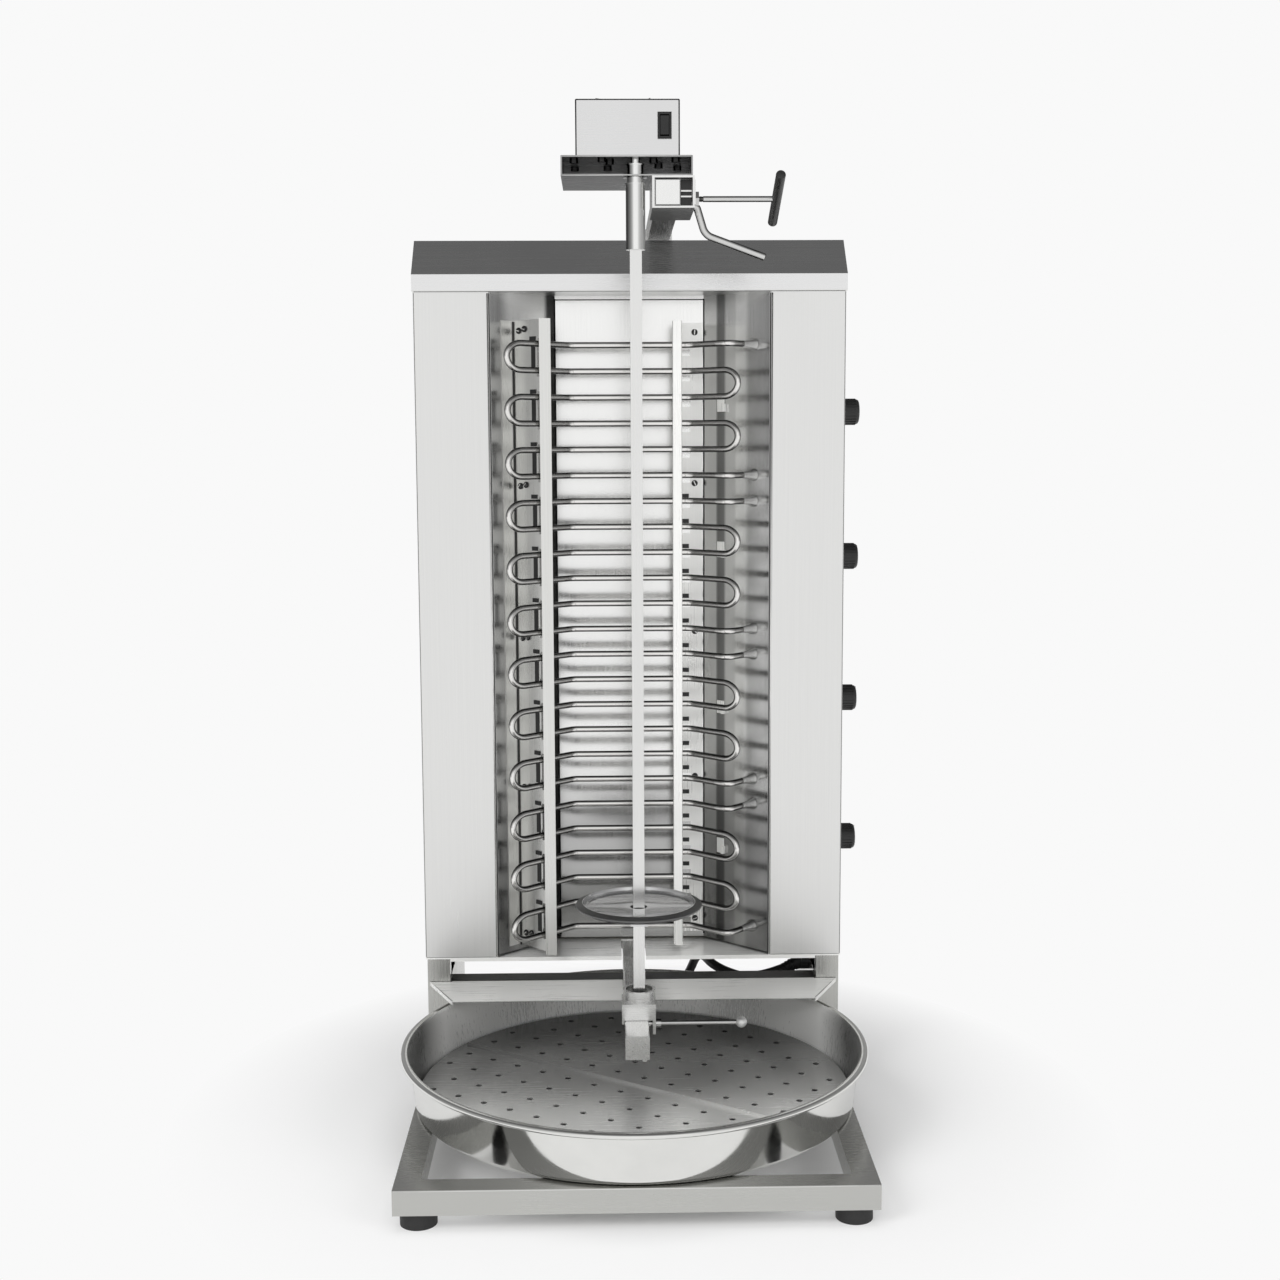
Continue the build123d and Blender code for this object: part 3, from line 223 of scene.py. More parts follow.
def brushed(name, colour, roughness, grain, contrast=0.10, smudge=0.04, bump=0.03, painted_shade=None, metal=1.0):
    """Brushed stainless steel, its grain stretched along one axis, with soft rub marks."""
    material, tree, shader = new_material(name)
    scale = [GRAIN_ACROSS] * 3
    scale["xyz".index(grain)] = GRAIN_ALONG
    streaks = noise(tree, scale, detail=6.0, roughness=0.7)
    clouds = noise(tree, (9.0, 9.0, 6.0), detail=3.0, shift=4.2)
    value = combined(tree, spread(tree, streaks, 0, 0.7), spread(tree, clouds, 0, 0.3))
    dark = tuple(part * (1 - contrast) for part in colour)
    light = tuple(min(1.0, part * (1 + contrast)) for part in colour)
    tint = tinted(tree, value, dark, light)
    # Painted shade, when given, darkens the grain colour towards black
    if painted_shade is not None:
        tint = tinted(tree, painted_shade(tree), (0.0, 0.0, 0.0), tint)
    tree.links.new(tint, shader.inputs["Base Color"])
    rough = combined(
        tree,
        spread(tree, streaks, roughness - 0.05, roughness + 0.05),
        spread(tree, clouds, -smudge, smudge),
    )
    tree.links.new(rough, shader.inputs["Roughness"])
    shader.inputs["Metallic"].default_value = metal
    bumped(tree, shader, streaks, bump, 0.0002)
    return material


def polished(name, colour, roughness, wave=0.0006):
    """Polished sheet steel with faint hand marks and a slight wave."""
    material, tree, shader = new_material(name)
    clouds = noise(tree, (14.0, 14.0, 20.0), detail=5.0)
    dull = tuple(part * 0.93 for part in colour)
    tree.links.new(tinted(tree, spread(tree, clouds, 0, 1), dull, tuple(colour)), shader.inputs["Base Color"])
    tree.links.new(spread(tree, clouds, roughness, roughness + 0.10), shader.inputs["Roughness"])
    shader.inputs["Metallic"].default_value = 1.0
    bumped(tree, shader, noise(tree, (16.0, 16.0, 16.0), detail=1.0), 0.25, wave)
    return material


def plastic(name, colour, roughness, grain_size=900.0, depth=0.00008):
    """Moulded plastic or rubber with a fine skin."""
    material, tree, shader = new_material(name)
    grain = noise(tree, (grain_size,) * 3, detail=3.0)
    clouds = noise(tree, (30.0,) * 3, detail=3.0, shift=1.7)
    dark = tuple(part * 0.85 for part in colour)
    light = tuple(part * 1.15 for part in colour)
    tree.links.new(tinted(tree, spread(tree, clouds, 0, 1), dark, light), shader.inputs["Base Color"])
    tree.links.new(spread(tree, clouds, roughness - 0.05, roughness + 0.07), shader.inputs["Roughness"])
    bumped(tree, shader, grain, 0.3, depth)
    return material


def facing(axis, dull, dark, bright, signed=False):
    """Painted shade that darkens faces turned away from an axis, or faces turned to its low side."""
    def painted_shade(tree):
        geometry = tree.nodes.new("ShaderNodeNewGeometry")
        parts = tree.nodes.new("ShaderNodeSeparateXYZ")
        tree.links.new(geometry.outputs["Normal"], parts.inputs["Vector"])
        value = parts.outputs["XYZ".index(axis)]
        if not signed:
            value = combined(tree, value, 0.0, "ABSOLUTE")
        return spread(tree, value, dull, 1.0, dark, bright)
    return painted_shade


def along(axis, middle, reach, stops):
    """Painted shade that follows a place along an axis, its stops given in metres from the middle."""
    def painted_shade(tree):
        coordinate = tree.nodes.new("ShaderNodeTexCoord")
        parts = tree.nodes.new("ShaderNodeSeparateXYZ")
        tree.links.new(coordinate.outputs["Object"], parts.inputs["Vector"])
        value = spread(tree, parts.outputs["XYZ".index(axis)], 0.0, 1.0, middle - reach, middle + reach)
        return curve(tree, value, [((place + reach) / (2 * reach), level) for place, level in stops])
    return painted_shade


def both(first, second):
    """Two painted shades multiplied."""
    return lambda tree: combined(tree, first(tree), second(tree), "MULTIPLY")


# Painted shade along the reflector, the pan and its plate: place in metres, level
panel_stops = [
    (-0.157, 0.55), (-0.146, 0.40), (-0.135, 0.80), (-0.098, 0.80), (-0.094, 0.08), (-0.0858, 0.06),
    (-0.0853, 0.97), (0.0853, 1.0), (0.0858, 0.80), (0.099, 0.74), (0.1005, 0.22), (0.108, 0.26),
    (0.1095, 0.70), (0.119, 0.80), (0.121, 1.0), (0.130, 1.0), (0.134, 0.70), (0.150, 0.62), (0.157, 0.50),
]
panel_rise = [(0.0, 0.45), (0.16, 0.50), (0.29, 0.55), (0.36, 1.0), (1.1, 1.0)]
pan_stops = [
    (-0.26, 0.06), (-0.236, 0.14), (-0.215, 1.0), (0.0, 1.0), (0.212, 1.0), (0.234, 0.12), (0.26, 0.05),
]
grid_stops = [
    (-0.40, 1.0), (-0.30, 1.0), (-0.25, 0.90), (-0.18, 0.62), (-0.10, 0.36), (0.0, 0.18), (0.10, 0.12),
]
body_steel = brushed("body_steel", (0.80, 0.80, 0.79), 0.34, "z", contrast=0.04)
hood_steel = brushed("hood_steel", (0.80, 0.80, 0.80), 0.26, "x", contrast=0.05)
shelf_steel = brushed("shelf_steel", (0.92, 0.92, 0.90), 0.30, "x", contrast=0.04, metal=0.4)
rear_steel = brushed("rear_steel", (0.58, 0.58, 0.57), 0.36, "z")
rail_steel = brushed("rail_steel", (0.53, 0.53, 0.51), 0.24, "x", contrast=0.03, bump=0.01)
# Arms: painted shade on their undersides
side_rail_steel = brushed(
    "side_rail_steel", (0.88, 0.88, 0.87), 0.26, "y", contrast=0.01, bump=0.0,
    painted_shade=facing("Z", 0.22, -0.7, -0.2, True)
)
leg_steel = brushed("leg_steel", (0.53, 0.53, 0.51), 0.28, "z", contrast=0.05)
apron_steel = brushed("apron_steel", (0.80, 0.80, 0.78), 0.30, "x", contrast=0.04, metal=0.4)
# Reflector: painted shade in bands across it, and darker towards its foot
reflector_steel = brushed(
    "reflector_steel", (0.92, 0.92, 0.91), 0.18, "z", contrast=0.05, painted_shade=both(
        along("X", casing_x, 0.16, panel_stops), along("Z", 0.0, 1.2, panel_rise)
    )
)
# Heating elements: painted shade on every face of the tubes not turned to the front or back
element_steel = brushed(
    "element_steel", (0.84, 0.83, 0.81), 0.16, "x", contrast=0.04, painted_shade=facing("Y", 0.04, 0.52, 0.90)
)
bracket_steel = brushed("bracket_steel", (0.94, 0.94, 0.92), 0.30, "z", contrast=0.04, metal=0.6)
bar_steel = brushed("bar_steel", (0.76, 0.76, 0.74), 0.30, "z", contrast=0.08)
# Spit rod: painted shade on the faces not turned to the front or back
spit_steel = brushed(
    "spit_steel", (0.78, 0.78, 0.77), 0.24, "z", contrast=0.05, painted_shade=facing("Y", 0.25, 0.3, 0.9)
)
# Coupling: painted shade on the faces turned to the left
coupling_steel = brushed(
    "coupling_steel", (0.84, 0.84, 0.83), 0.14, "z", contrast=0.05, painted_shade=facing("X", 0.14, -0.85, -0.2, True)
)
# Carriage: painted shade on its undersides
carriage_steel = brushed(
    "carriage_steel", (0.84, 0.84, 0.83), 0.26, "x", contrast=0.04, painted_shade=facing("Z", 0.25, -0.7, -0.2, True)
)
housing_steel = brushed("housing_steel", (0.76, 0.76, 0.76), 0.30, "x", contrast=0.04)
# Fasteners: painted shade on every face not turned to the front or back
fastener_steel = brushed(
    "fastener_steel", (0.66, 0.66, 0.65), 0.18, "y", contrast=0.06, painted_shade=facing("Y", 0.04, 0.5, 0.9)
)
bead_steel = brushed("bead_steel", (0.30, 0.29, 0.28), 0.40, "z", contrast=0.3)
edge_steel = brushed("edge_steel", (0.78, 0.78, 0.77), 0.22, "y", contrast=0.05)
# Motor tray: painted shade on its undersides
tray_steel = brushed(
    "tray_steel", (0.36, 0.36, 0.36), 0.26, "x", contrast=0.08, painted_shade=facing("Z", 0.60, -0.7, -0.2, True)
)
# Front crossbar: very dark steel as painted shadow under the casing
painted_shadow_steel = brushed("painted_shadow_steel", (0.09, 0.09, 0.088), 0.34, "x", contrast=0.10)
# Near-black steel for the screws and bolts, also used as painted shade in slots, gaps and along edges
dark_steel_and_shade = brushed("dark_steel_and_shade", (0.06, 0.06, 0.06), 0.38, "z", contrast=0.2)
# Grid: painted shade, darker towards its rear
grid_steel = brushed(
    "grid_steel", (0.98, 0.98, 0.95), 0.24, "x", contrast=0.04, metal=0.62,
    painted_shade=along("Y", casing_y, 0.42, grid_stops)
)
# Inside of the pan: painted shade, darker towards its left and right walls
pan_inner_steel = brushed(
    "pan_inner_steel", (0.96, 0.96, 0.94), 0.30, "z", contrast=0.02, bump=0.0, metal=0.40,
    painted_shade=along("X", casing_x, 0.26, pan_stops)
)
pan_steel = polished("pan_steel", (0.80, 0.80, 0.78), 0.06)
plate_steel = polished("plate_steel", (0.66, 0.66, 0.66), 0.05)
rim_steel = brushed("rim_steel", (0.20, 0.20, 0.20), 0.38, "x", contrast=0.12)
ball_steel = polished("ball_steel", (1.0, 1.0, 0.99), 0.45)
motor_alloy = brushed("motor_alloy", (0.30, 0.31, 0.32), 0.5, "z")
foot_rubber = plastic("foot_rubber", (0.020, 0.020, 0.020), 0.6)
knob_plastic = plastic("knob_plastic", (0.015, 0.015, 0.015), 0.38)
grip_plastic = plastic("grip_plastic", (0.015, 0.015, 0.015), 0.32)
switch_plastic = plastic("switch_plastic", (0.008, 0.008, 0.008), 0.25)
mark_white = plastic("mark_white", (0.72, 0.72, 0.70), 0.5)
regulator_plastic = plastic("regulator_plastic", (0.70, 0.66, 0.55), 0.5)
terminal_ceramic = plastic("terminal_ceramic", (0.82, 0.80, 0.76), 0.25)
cord_rubber = plastic("cord_rubber", (0.012, 0.012, 0.012), 0.45)
plug_plastic = plastic("plug_plastic", (0.50, 0.035, 0.03), 0.45)
pin_brass = brushed("pin_brass", (0.75, 0.58, 0.30), 0.25, "x")
mineral_mat = plastic("mineral_mat", (0.60, 0.55, 0.42), 0.95, grain_size=300.0, depth=0.002)

finishes = {
    body_steel: ("casing_left", "casing_right", "ceiling_plate"),
    shelf_steel: ("floor_plate",),
    rear_steel: ("rear_panel",),
    hood_steel: ("roof_hood",),
    rail_steel: ("base_frame", "rear_crossbar"),
    painted_shadow_steel: ("front_crossbar",),
    side_rail_steel: ("lower_arm", "upper_arm", "arm_mount"),
    leg_steel: ("leg_left", "leg_right"),
    apron_steel: ("apron",),
    reflector_steel: ("reflector",),
    element_steel: ("heater_1", "heater_2", "heater_3", "heater_4"),
    bracket_steel: ("bracket_right",),
    bar_steel: ("bracket_left",),
    spit_steel: ("spit_rod",),
    coupling_steel: ("drive_coupling",),
    carriage_steel: ("carriage_sleeve", "spit_seat"),
    tray_steel: ("motor_tray",),
    housing_steel: ("motor_housing",),
    fastener_steel: ("clamp_nut", "clamp_screw", "pressure_pad", "pull_handle", "seat_screw", "cord_clip"),
    dark_steel_and_shade: ("bracket_screws", "housing_screws", "tray_bolts"),
    grid_steel: ("grid_left", "grid_right"),
    pan_steel: ("drip_pan",),
    plate_steel: ("meat_plate", "plate_collar"),
    motor_alloy: ("gear_motor",),
    foot_rubber: ("rubber_feet",),
    knob_plastic: ("knob_1", "knob_2", "knob_3", "knob_4"),
    grip_plastic: ("clamp_grip", "cable_gland"),
    ball_steel: ("screw_ball",),
    switch_plastic: ("switch_body", "switch_rocker"),
    regulator_plastic: ("regulators",),
    terminal_ceramic: ("terminal_block",),
    cord_rubber: ("power_cord", "cord_coil"),
    plug_plastic: ("plug_body",),
    pin_brass: ("plug_pins",),
    mineral_mat: ("insulation",),
}
for material, names in finishes.items():
    for name in names:
        nodes[name].data.materials.clear()
        nodes[name].data.materials.append(material)
cord.data.materials.append(cord_rubber)


# Mesh building


def piece(mesh, materials, body, replaced=()):
    """An object named like its mesh, with its finish, its body and the nodes that it stands for."""
    made = bpy.data.objects.new(mesh.name, mesh)
    bpy.context.scene.collection.objects.link(made)
    for material in materials:
        mesh.materials.append(material)
    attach(made, body)
    if replaced:
        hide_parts(*replaced)


def mesh_from(name, vertices, faces, tints=None, smooth=True):
    """A mesh from points in metres and faces, with outward normals."""
    mesh = bpy.data.meshes.new(name)
    mesh.from_pydata([tuple(v) for v in vertices], [], faces)
    build = bmesh.new()
    build.from_mesh(mesh)
    bmesh.ops.recalc_face_normals(build, faces=build.faces)
    build.to_mesh(mesh)
    build.free()
    for index, face in enumerate(mesh.polygons):
        face.use_smooth = smooth
        if tints is not None:
            face.material_index = tints[index]
    return mesh


def joined(shapes):
    """Several vertex and face lists as one."""
    vertices, faces = [], []
    for points, loops in shapes:
        base = len(vertices)
        vertices += points
        faces += [tuple(base + number for number in loop) for loop in loops]
    return vertices, faces


def two_tone(first, second):
    """Two groups of shapes as one, with a list of the finish of each face."""
    vertices, faces = joined(first + second)
    split = sum(len(loops) for _, loops in first)
    return vertices, faces, [0] * split + [1] * (len(faces) - split)


def sharpened(mesh, degrees=35):
    """Keeps edges sharp where faces meet at more than an angle."""
    build = bmesh.new()
    build.from_mesh(mesh)
    for edge in build.edges:
        edge.smooth = len(edge.link_faces) == 2 and edge.calc_face_angle(pi) < radians(degrees)
    build.to_mesh(mesh)
    build.free()
    return mesh


def rounded(points, radius, steps=8):
    """A line of points in millimetres with each corner turned into an arc."""
    points = [Vector(point) for point in points]
    line = [points[0]]
    for before, here, after in zip(points, points[1:], points[2:]):
        inward = (here - before).normalized()
        outward = (after - here).normalized()
        half = inward.angle(outward) / 2
        limit = 0.4999 * min((here - before).length, (after - here).length)
        cut = min(radius * tan(half), limit)
        bend = cut / tan(half)
        start = here - inward * cut
        middle = here + (outward - inward).normalized() * (bend / cos(half))
        for step in range(steps + 1):
            angle = 2 * half * step / steps
            line.append(middle + (start - middle) * cos(angle) + inward * (bend * sin(angle)))
    line.append(points[-1])
    return line


def tube(line, radius, sides=16, closed=True):
    """Vertices and faces of a round tube along a line in millimetres; the radius may vary along it."""
    line = [Vector(point) for point in line]
    radii = radius if isinstance(radius, (list, tuple)) else [radius] * len(line)
    direction = (line[1] - line[0]).normalized()
    across = direction.orthogonal().normalized()
    vertices, faces = [], []
    for index, point in enumerate(line):
        ahead = line[min(index + 1, len(line) - 1)] - point
        behind = point - line[max(index - 1, 0)]
        new_direction = (ahead.normalized() + behind.normalized()).normalized()
        across = (direction.rotation_difference(new_direction) @ across).normalized()
        direction = new_direction
        other = direction.cross(across)
        for number in range(sides):
            angle = 2 * pi * number / sides
            local = point + (across * cos(angle) + other * sin(angle)) * radii[index]
            vertices.append(at(*local))
    for index in range(len(line) - 1):
        for number in range(sides):
            near = index * sides
            after = (number + 1) % sides
            faces.append((near + number, near + after, near + sides + after, near + sides + number))
    if closed:
        faces.append(tuple(range(sides)))
        faces.append(tuple(range(len(vertices) - sides, len(vertices))))
    return vertices, faces


def lathe(profile, centre, axis=(0, 0, 1), sides=64):
    """Vertices and faces of a closed outline of (radius, height) turned round an axis, in millimetres."""
    axis = Vector(axis).normalized()
    across = axis.orthogonal().normalized()
    other = axis.cross(across)
    vertices, faces = [], []
    for radius, height in profile:
        for number in range(sides):
            angle = 2 * pi * number / sides
            local = Vector(centre) + axis * height + (across * cos(angle) + other * sin(angle)) * radius
            vertices.append(at(*local))
    rows = len(profile)
    for row in range(rows - 1):
        for number in range(sides):
            after = (number + 1) % sides
            faces.append((row * sides + number, row * sides + after, (row + 1) * sides + after,
                          (row + 1) * sides + number))
    if profile[0][0] > 0.05 and profile[0] != profile[-1]:
        faces.append(tuple(range(sides)))
        faces.append(tuple(range((rows - 1) * sides, rows * sides)))
    return vertices, faces


def arc(centre, radius, start, end, steps):
    """Points of an arc in a profile, with angles in degrees."""
    points = []
    for step in range(steps + 1):
        angle = radians(start + (end - start) * step / steps)
        points.append((centre[0] + radius * cos(angle), centre[1] + radius * sin(angle)))
    return points


def local_box(name):
    """A node's box corners, in millimetres from the casing's middle, its front and the floor."""
    low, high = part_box(name)
    shift = Vector((casing_x, casing_y, 0))
    return (low - shift) / MM, (high - shift) / MM


# Heating elements: six runs each along the back panel and out along the slanted panels
PANEL_X = 85.4
PANEL_Y = 67.8
OPENING_HALF = 157.0
PANEL_GAP = 45.0
TUBE_RADIUS = 3.5
ZONES = 4
RUNS = 6
LEFT_REACH = 135.0
RIGHT_REACH = 118.0
TERMINAL_X = 139.0
LEAD_START = 10.0
LEAD_END = 96.0
LEAD_BEND = 22.0
RUN_BEND = 13.0
BEND_REACH = 100.0
TURN_STEPS = 16
CLOSEST_POINTS = 0.6
slope = atan2(PANEL_Y, OPENING_HALF - PANEL_X)
along_left = Vector((-cos(slope), -sin(slope), 0))
inward_left = Vector((sin(slope), -cos(slope), 0))
along_right = Vector((cos(slope), -sin(slope), 0))
inward_right = Vector((-sin(slope), -cos(slope), 0))
terminal_y = PANEL_Y - (TERMINAL_X - PANEL_X) * tan(slope)
run_y = PANEL_Y - PANEL_GAP
corner_x = PANEL_X - PANEL_GAP * (sin(slope) - (1 - cos(slope)) / tan(slope))
run_tops = [local_box(f"heater_{number}")[1].z - TUBE_RADIUS for number in range(1, ZONES + 1)]
zone_pitch = run_tops[0] - run_tops[1]
run_pitch = zone_pitch / RUNS
bend = run_pitch / 2


def slanted(reach):
    """Depth of the outer part of a run at a distance from the middle."""
    return run_y - (reach - corner_x) * tan(slope)


def lead_points(z):
    """Centre line of a lead, from its terminal on the right panel towards the runs."""
    terminal = Vector((TERMINAL_X, terminal_y, z))
    bent = terminal + inward_right * (PANEL_GAP - 1)
    return [terminal + inward_right * LEAD_START, bent, Vector((LEAD_END, slanted(LEAD_END), z))]


def element_line(top):
    """Smooth centre line of a serpentine element."""
    line = rounded(lead_points(top) + [(corner_x, run_y, top), (0, run_y, top)], LEAD_BEND)
    for index in range(RUNS):
        z = top - index * run_pitch
        side = -1 if index % 2 == 0 else 1
        if index > 0:
            line += rounded([(-side * BEND_REACH, slanted(BEND_REACH), z), (-side * corner_x, run_y, z),
                             (0, run_y, z)], RUN_BEND)
        if index < RUNS - 1:
            line += rounded([(0, run_y, z), (side * corner_x, run_y, z),
                             (side * BEND_REACH, slanted(BEND_REACH), z)], RUN_BEND)
            centre = (LEFT_REACH if side < 0 else RIGHT_REACH) - bend
            for step in range(TURN_STEPS + 1):
                angle = pi / 2 - pi * step / TURN_STEPS
                reach = centre + bend * cos(angle)
                line.append(Vector((side * reach, slanted(reach), z - bend + bend * sin(angle))))
    low = top - (RUNS - 1) * run_pitch
    line += rounded([(0, run_y, low), (corner_x, run_y, low)] + lead_points(low)[::-1], LEAD_BEND)
    clean = [Vector(line[0])]
    for point in line[1:]:
        if (Vector(point) - clean[-1]).length > CLOSEST_POINTS:
            clean.append(Vector(point))
    return clean


ferrule = [(0, 0.2), (6.8, 0.2), (7.2, 1.0), (6.6, 3.0), (5.0, 8.0), (4.1, 14), (3.7, 20), (0, 20)]
for number, top in enumerate(run_tops, start=1):
    rod = tube(element_line(top), TUBE_RADIUS, sides=20)
    ferrules = [lathe(ferrule, (TERMINAL_X, terminal_y, z), inward_right, 24)
                for z in (top, top - (RUNS - 1) * run_pitch)]
    mesh = mesh_from(f"element_{number}", *two_tone([rod], ferrules))
    piece(sharpened(mesh), [element_steel, edge_steel], "stand", (f"heater_{number}",))

# Painted shade in the slots of the element brackets, and the brackets' screws
panel_foot = Vector((-PANEL_X, PANEL_Y, 0))
bracket_low, bracket_high = (corner.z for corner in local_box("bracket_left"))
WEB_REACH = 64.0


def slab(origin, first, second, third):
    """A box from a corner and three edge vectors, in millimetres."""
    origin, first, second, third = (Vector(item) for item in (origin, first, second, third))
    corners = [origin + first * a + second * b + third * c for c in (0, 1) for b in (0, 1) for a in (0, 1)]
    faces = [(0, 2, 3, 1), (4, 5, 7, 6), (0, 1, 5, 4), (2, 6, 7, 3), (0, 4, 6, 2), (1, 3, 7, 5)]
    return [at(*corner) for corner in corners], faces


def bevelled(mesh, width):
    """Rounds every edge of a mesh slightly; the width is in millimetres."""
    build = bmesh.new()
    build.from_mesh(mesh)
    bmesh.ops.bevel(build, geom=build.edges[:], offset=width * MM, segments=2, affect="EDGES",
                    clamp_overlap=True)
    for face in build.faces:
        face.smooth = True
    build.to_mesh(mesh)
    build.free()
    return sharpened(mesh, 50)


def panel_place(reach, lift, z):
    """A point on the left slanted panel, lifted off it."""
    return panel_foot + along_left * reach + inward_left * lift + Vector((0, 0, z))


run_heights = [run_tops[0] - index * run_pitch for index in range(ZONES * RUNS)]
SLOT_LIFT, SLOT_WIDTH = 31.5, 7.0
TAB_LIFT, TAB_WIDTH, TAB_HEIGHT = 30.0, 9.0, 4.6
PORT_WIDTH, PORT_HEIGHT = 9.8, 5.0
# Dark slabs as painted shade: in the slot between each pair of runs, above each upper run, along the left
# bracket's fold and in the ports beside the runs of the right bracket
slot_shades = []
for pair in range(len(run_heights) // 2):
    upper = run_heights[2 * pair]
    lower = run_heights[2 * pair + 1]
    slot_shades.append(slab(panel_place(WEB_REACH + 0.02, SLOT_LIFT, lower + 1), along_left * 0.15,
                      inward_left * SLOT_WIDTH, (0, 0, upper - lower - 2)))
    slot_shades.append(slab(panel_place(WEB_REACH + 0.02, TAB_LIFT, upper + 4), along_left * 1.2,
                      inward_left * TAB_WIDTH, (0, 0, TAB_HEIGHT)))
slot_shades.append(slab(panel_place(WEB_REACH + 0.05, 1.25, bracket_low + 1), along_left * 1.1, inward_left * 1.2,
                  (0, 0, bracket_high - bracket_low - 2)))
right_low = local_box("bracket_right")[0]
for z in run_heights[RUNS:]:
    slot_shades.append(slab((right_low.x + 10.9, PANEL_Y - 1.5, z + 1.5), (PORT_WIDTH, 0, 0), (0, 0.25, 0),
                      (0, 0, PORT_HEIGHT)))
piece(mesh_from("bracket_slot_shade", *joined(slot_shades), smooth=False), [dark_steel_and_shade], "stand")


def screw_head(place, direction, radius, height, slot_angle=0.6):
    """A domed screw head with a slot, standing on a surface."""
    direction = Vector(direction).normalized()
    profile = [(0, 0), (radius, 0), (radius, 0.25 * height)]
    profile += [(radius * cos(a), height * (0.25 + 0.75 * sin(a))) for a in (0.35, 0.7, 1.05, 1.35)]
    profile.append((0, height))
    dome = lathe(profile, place, direction, 20)
    across = direction.orthogonal().normalized()
    across = Matrix.Rotation(slot_angle, 3, direction) @ across
    other = direction.cross(across)
    start = Vector(place) + direction * (0.82 * height) - across * (0.8 * radius) - other * (0.13 * radius)
    groove = slab(start, across * (1.6 * radius), other * (0.26 * radius), direction * (0.22 * height))
    return dome, groove


SCREW_ROWS = 5
TOP_SCREW_DROP = 10.5
screw_pitch = (bracket_high - bracket_low - TOP_SCREW_DROP - 18.0) / (SCREW_ROWS - 1)
row_heights = [bracket_high - TOP_SCREW_DROP - row * screw_pitch for row in range(SCREW_ROWS)]
domes, grooves = [], []
for row, z in enumerate(row_heights):
    for lift, rise in ((11.0, -1.0), (20.5, 0.5)):
        dome, groove = screw_head(panel_place(WEB_REACH, lift, z + rise), along_left, 3.6, 3.0, 0.4 + row)
        domes.append(dome)
        grooves.append(groove)
    foot = Vector((PANEL_X - 10.4, PANEL_Y - 1.2, z))
    dome, groove = screw_head(foot, (0, -1, 0), 3.6, 2.6, 0.7 + 0.5 * row)
    domes.append(dome)
    grooves.append(groove)
mesh = mesh_from("bracket_screw_heads", *two_tone(domes, grooves))
piece(sharpened(mesh), [dark_steel_and_shade, edge_steel], "stand", ("bracket_screws",))

# Clips on the right slanted panel
CLIP_REACH, CLIP_WIDTH = 21.0, 11.0
LIP_WIDTH, LIP_DEPTH, LIP_HEIGHT = 4.0, 5.0, 9.0
clips = []
for row, top in enumerate(run_tops):
    base = Vector((PANEL_X, PANEL_Y, top - 2.55 * run_pitch + 8 * (row % 2))) + along_right * CLIP_REACH
    lip = base + along_right * (CLIP_WIDTH - 2)
    clips.append(slab(base, along_right * CLIP_WIDTH, inward_right * 1.0, (0, 0, 15 + 3 * (row % 2))))
    clips.append(slab(lip, along_right * LIP_WIDTH, inward_right * LIP_DEPTH, (0, 0, LIP_HEIGHT)))
mesh = bevelled(mesh_from("panel_clips", *joined(clips)), 0.35)
piece(mesh, [bracket_steel], "stand")

# Spun drip pan with a rolled rim
pan_box = local_box("drip_pan")
pan_centre = ((pan_box[0].x + pan_box[1].x) / 2, (pan_box[0].y + pan_box[1].y) / 2, 0)
rim_radius = (pan_box[1].x - pan_box[0].x) / 2
rim_z = pan_box[1].z
pan_floor = pan_box[0].z
ROLL = 3.1
WALL_FOOT = 236.0
WALL_TOP = 241.2
FOOT_BEND = 5.0
FLOOR_SHEET = 1.0
PAN_SIDES = 192
roll_centre = (rim_radius - ROLL, rim_z - ROLL)
outline = [(0.01, pan_floor), (WALL_FOOT - FOOT_BEND, pan_floor)]
outline += arc((WALL_FOOT - FOOT_BEND, pan_floor + FOOT_BEND), FOOT_BEND, -90, 0, 5)[1:]
outline += [(WALL_TOP, rim_z - 9), (WALL_TOP + 1.4, rim_z - 4.4), (WALL_TOP + 2.4, rim_z - 2.4)]
outline.append((roll_centre[0] - 0.6, rim_z - 2.2))
outline += arc(roll_centre, ROLL - 1.2, 95, -150, 8)
outline += arc(roll_centre, ROLL, -150, 95, 12)
outer_rows = len(outline)
outline += [(WALL_TOP + 2.4, rim_z - 0.5), (WALL_TOP + 1.2, rim_z - 1.4), (WALL_TOP - 0.2, rim_z - 4.0)]
outline += [(WALL_TOP - 1.3, rim_z - 9), (WALL_FOOT - 1.2, pan_floor + 6)]
outline += arc((WALL_FOOT - 5.6, pan_floor + 5.4), 4.4, 0, -90, 5)
outline += [(0.01, pan_floor + FLOOR_SHEET)]
pan_shape = lathe(outline, pan_centre, sides=PAN_SIDES)
tints = [0 if index < outer_rows * PAN_SIDES else 1 for index in range(len(pan_shape[1]))]
mesh = mesh_from("pan_spun", *pan_shape, tints=tints)
piece(sharpened(mesh, 50), [pan_steel, pan_inner_steel], "pan", ("drip_pan",))

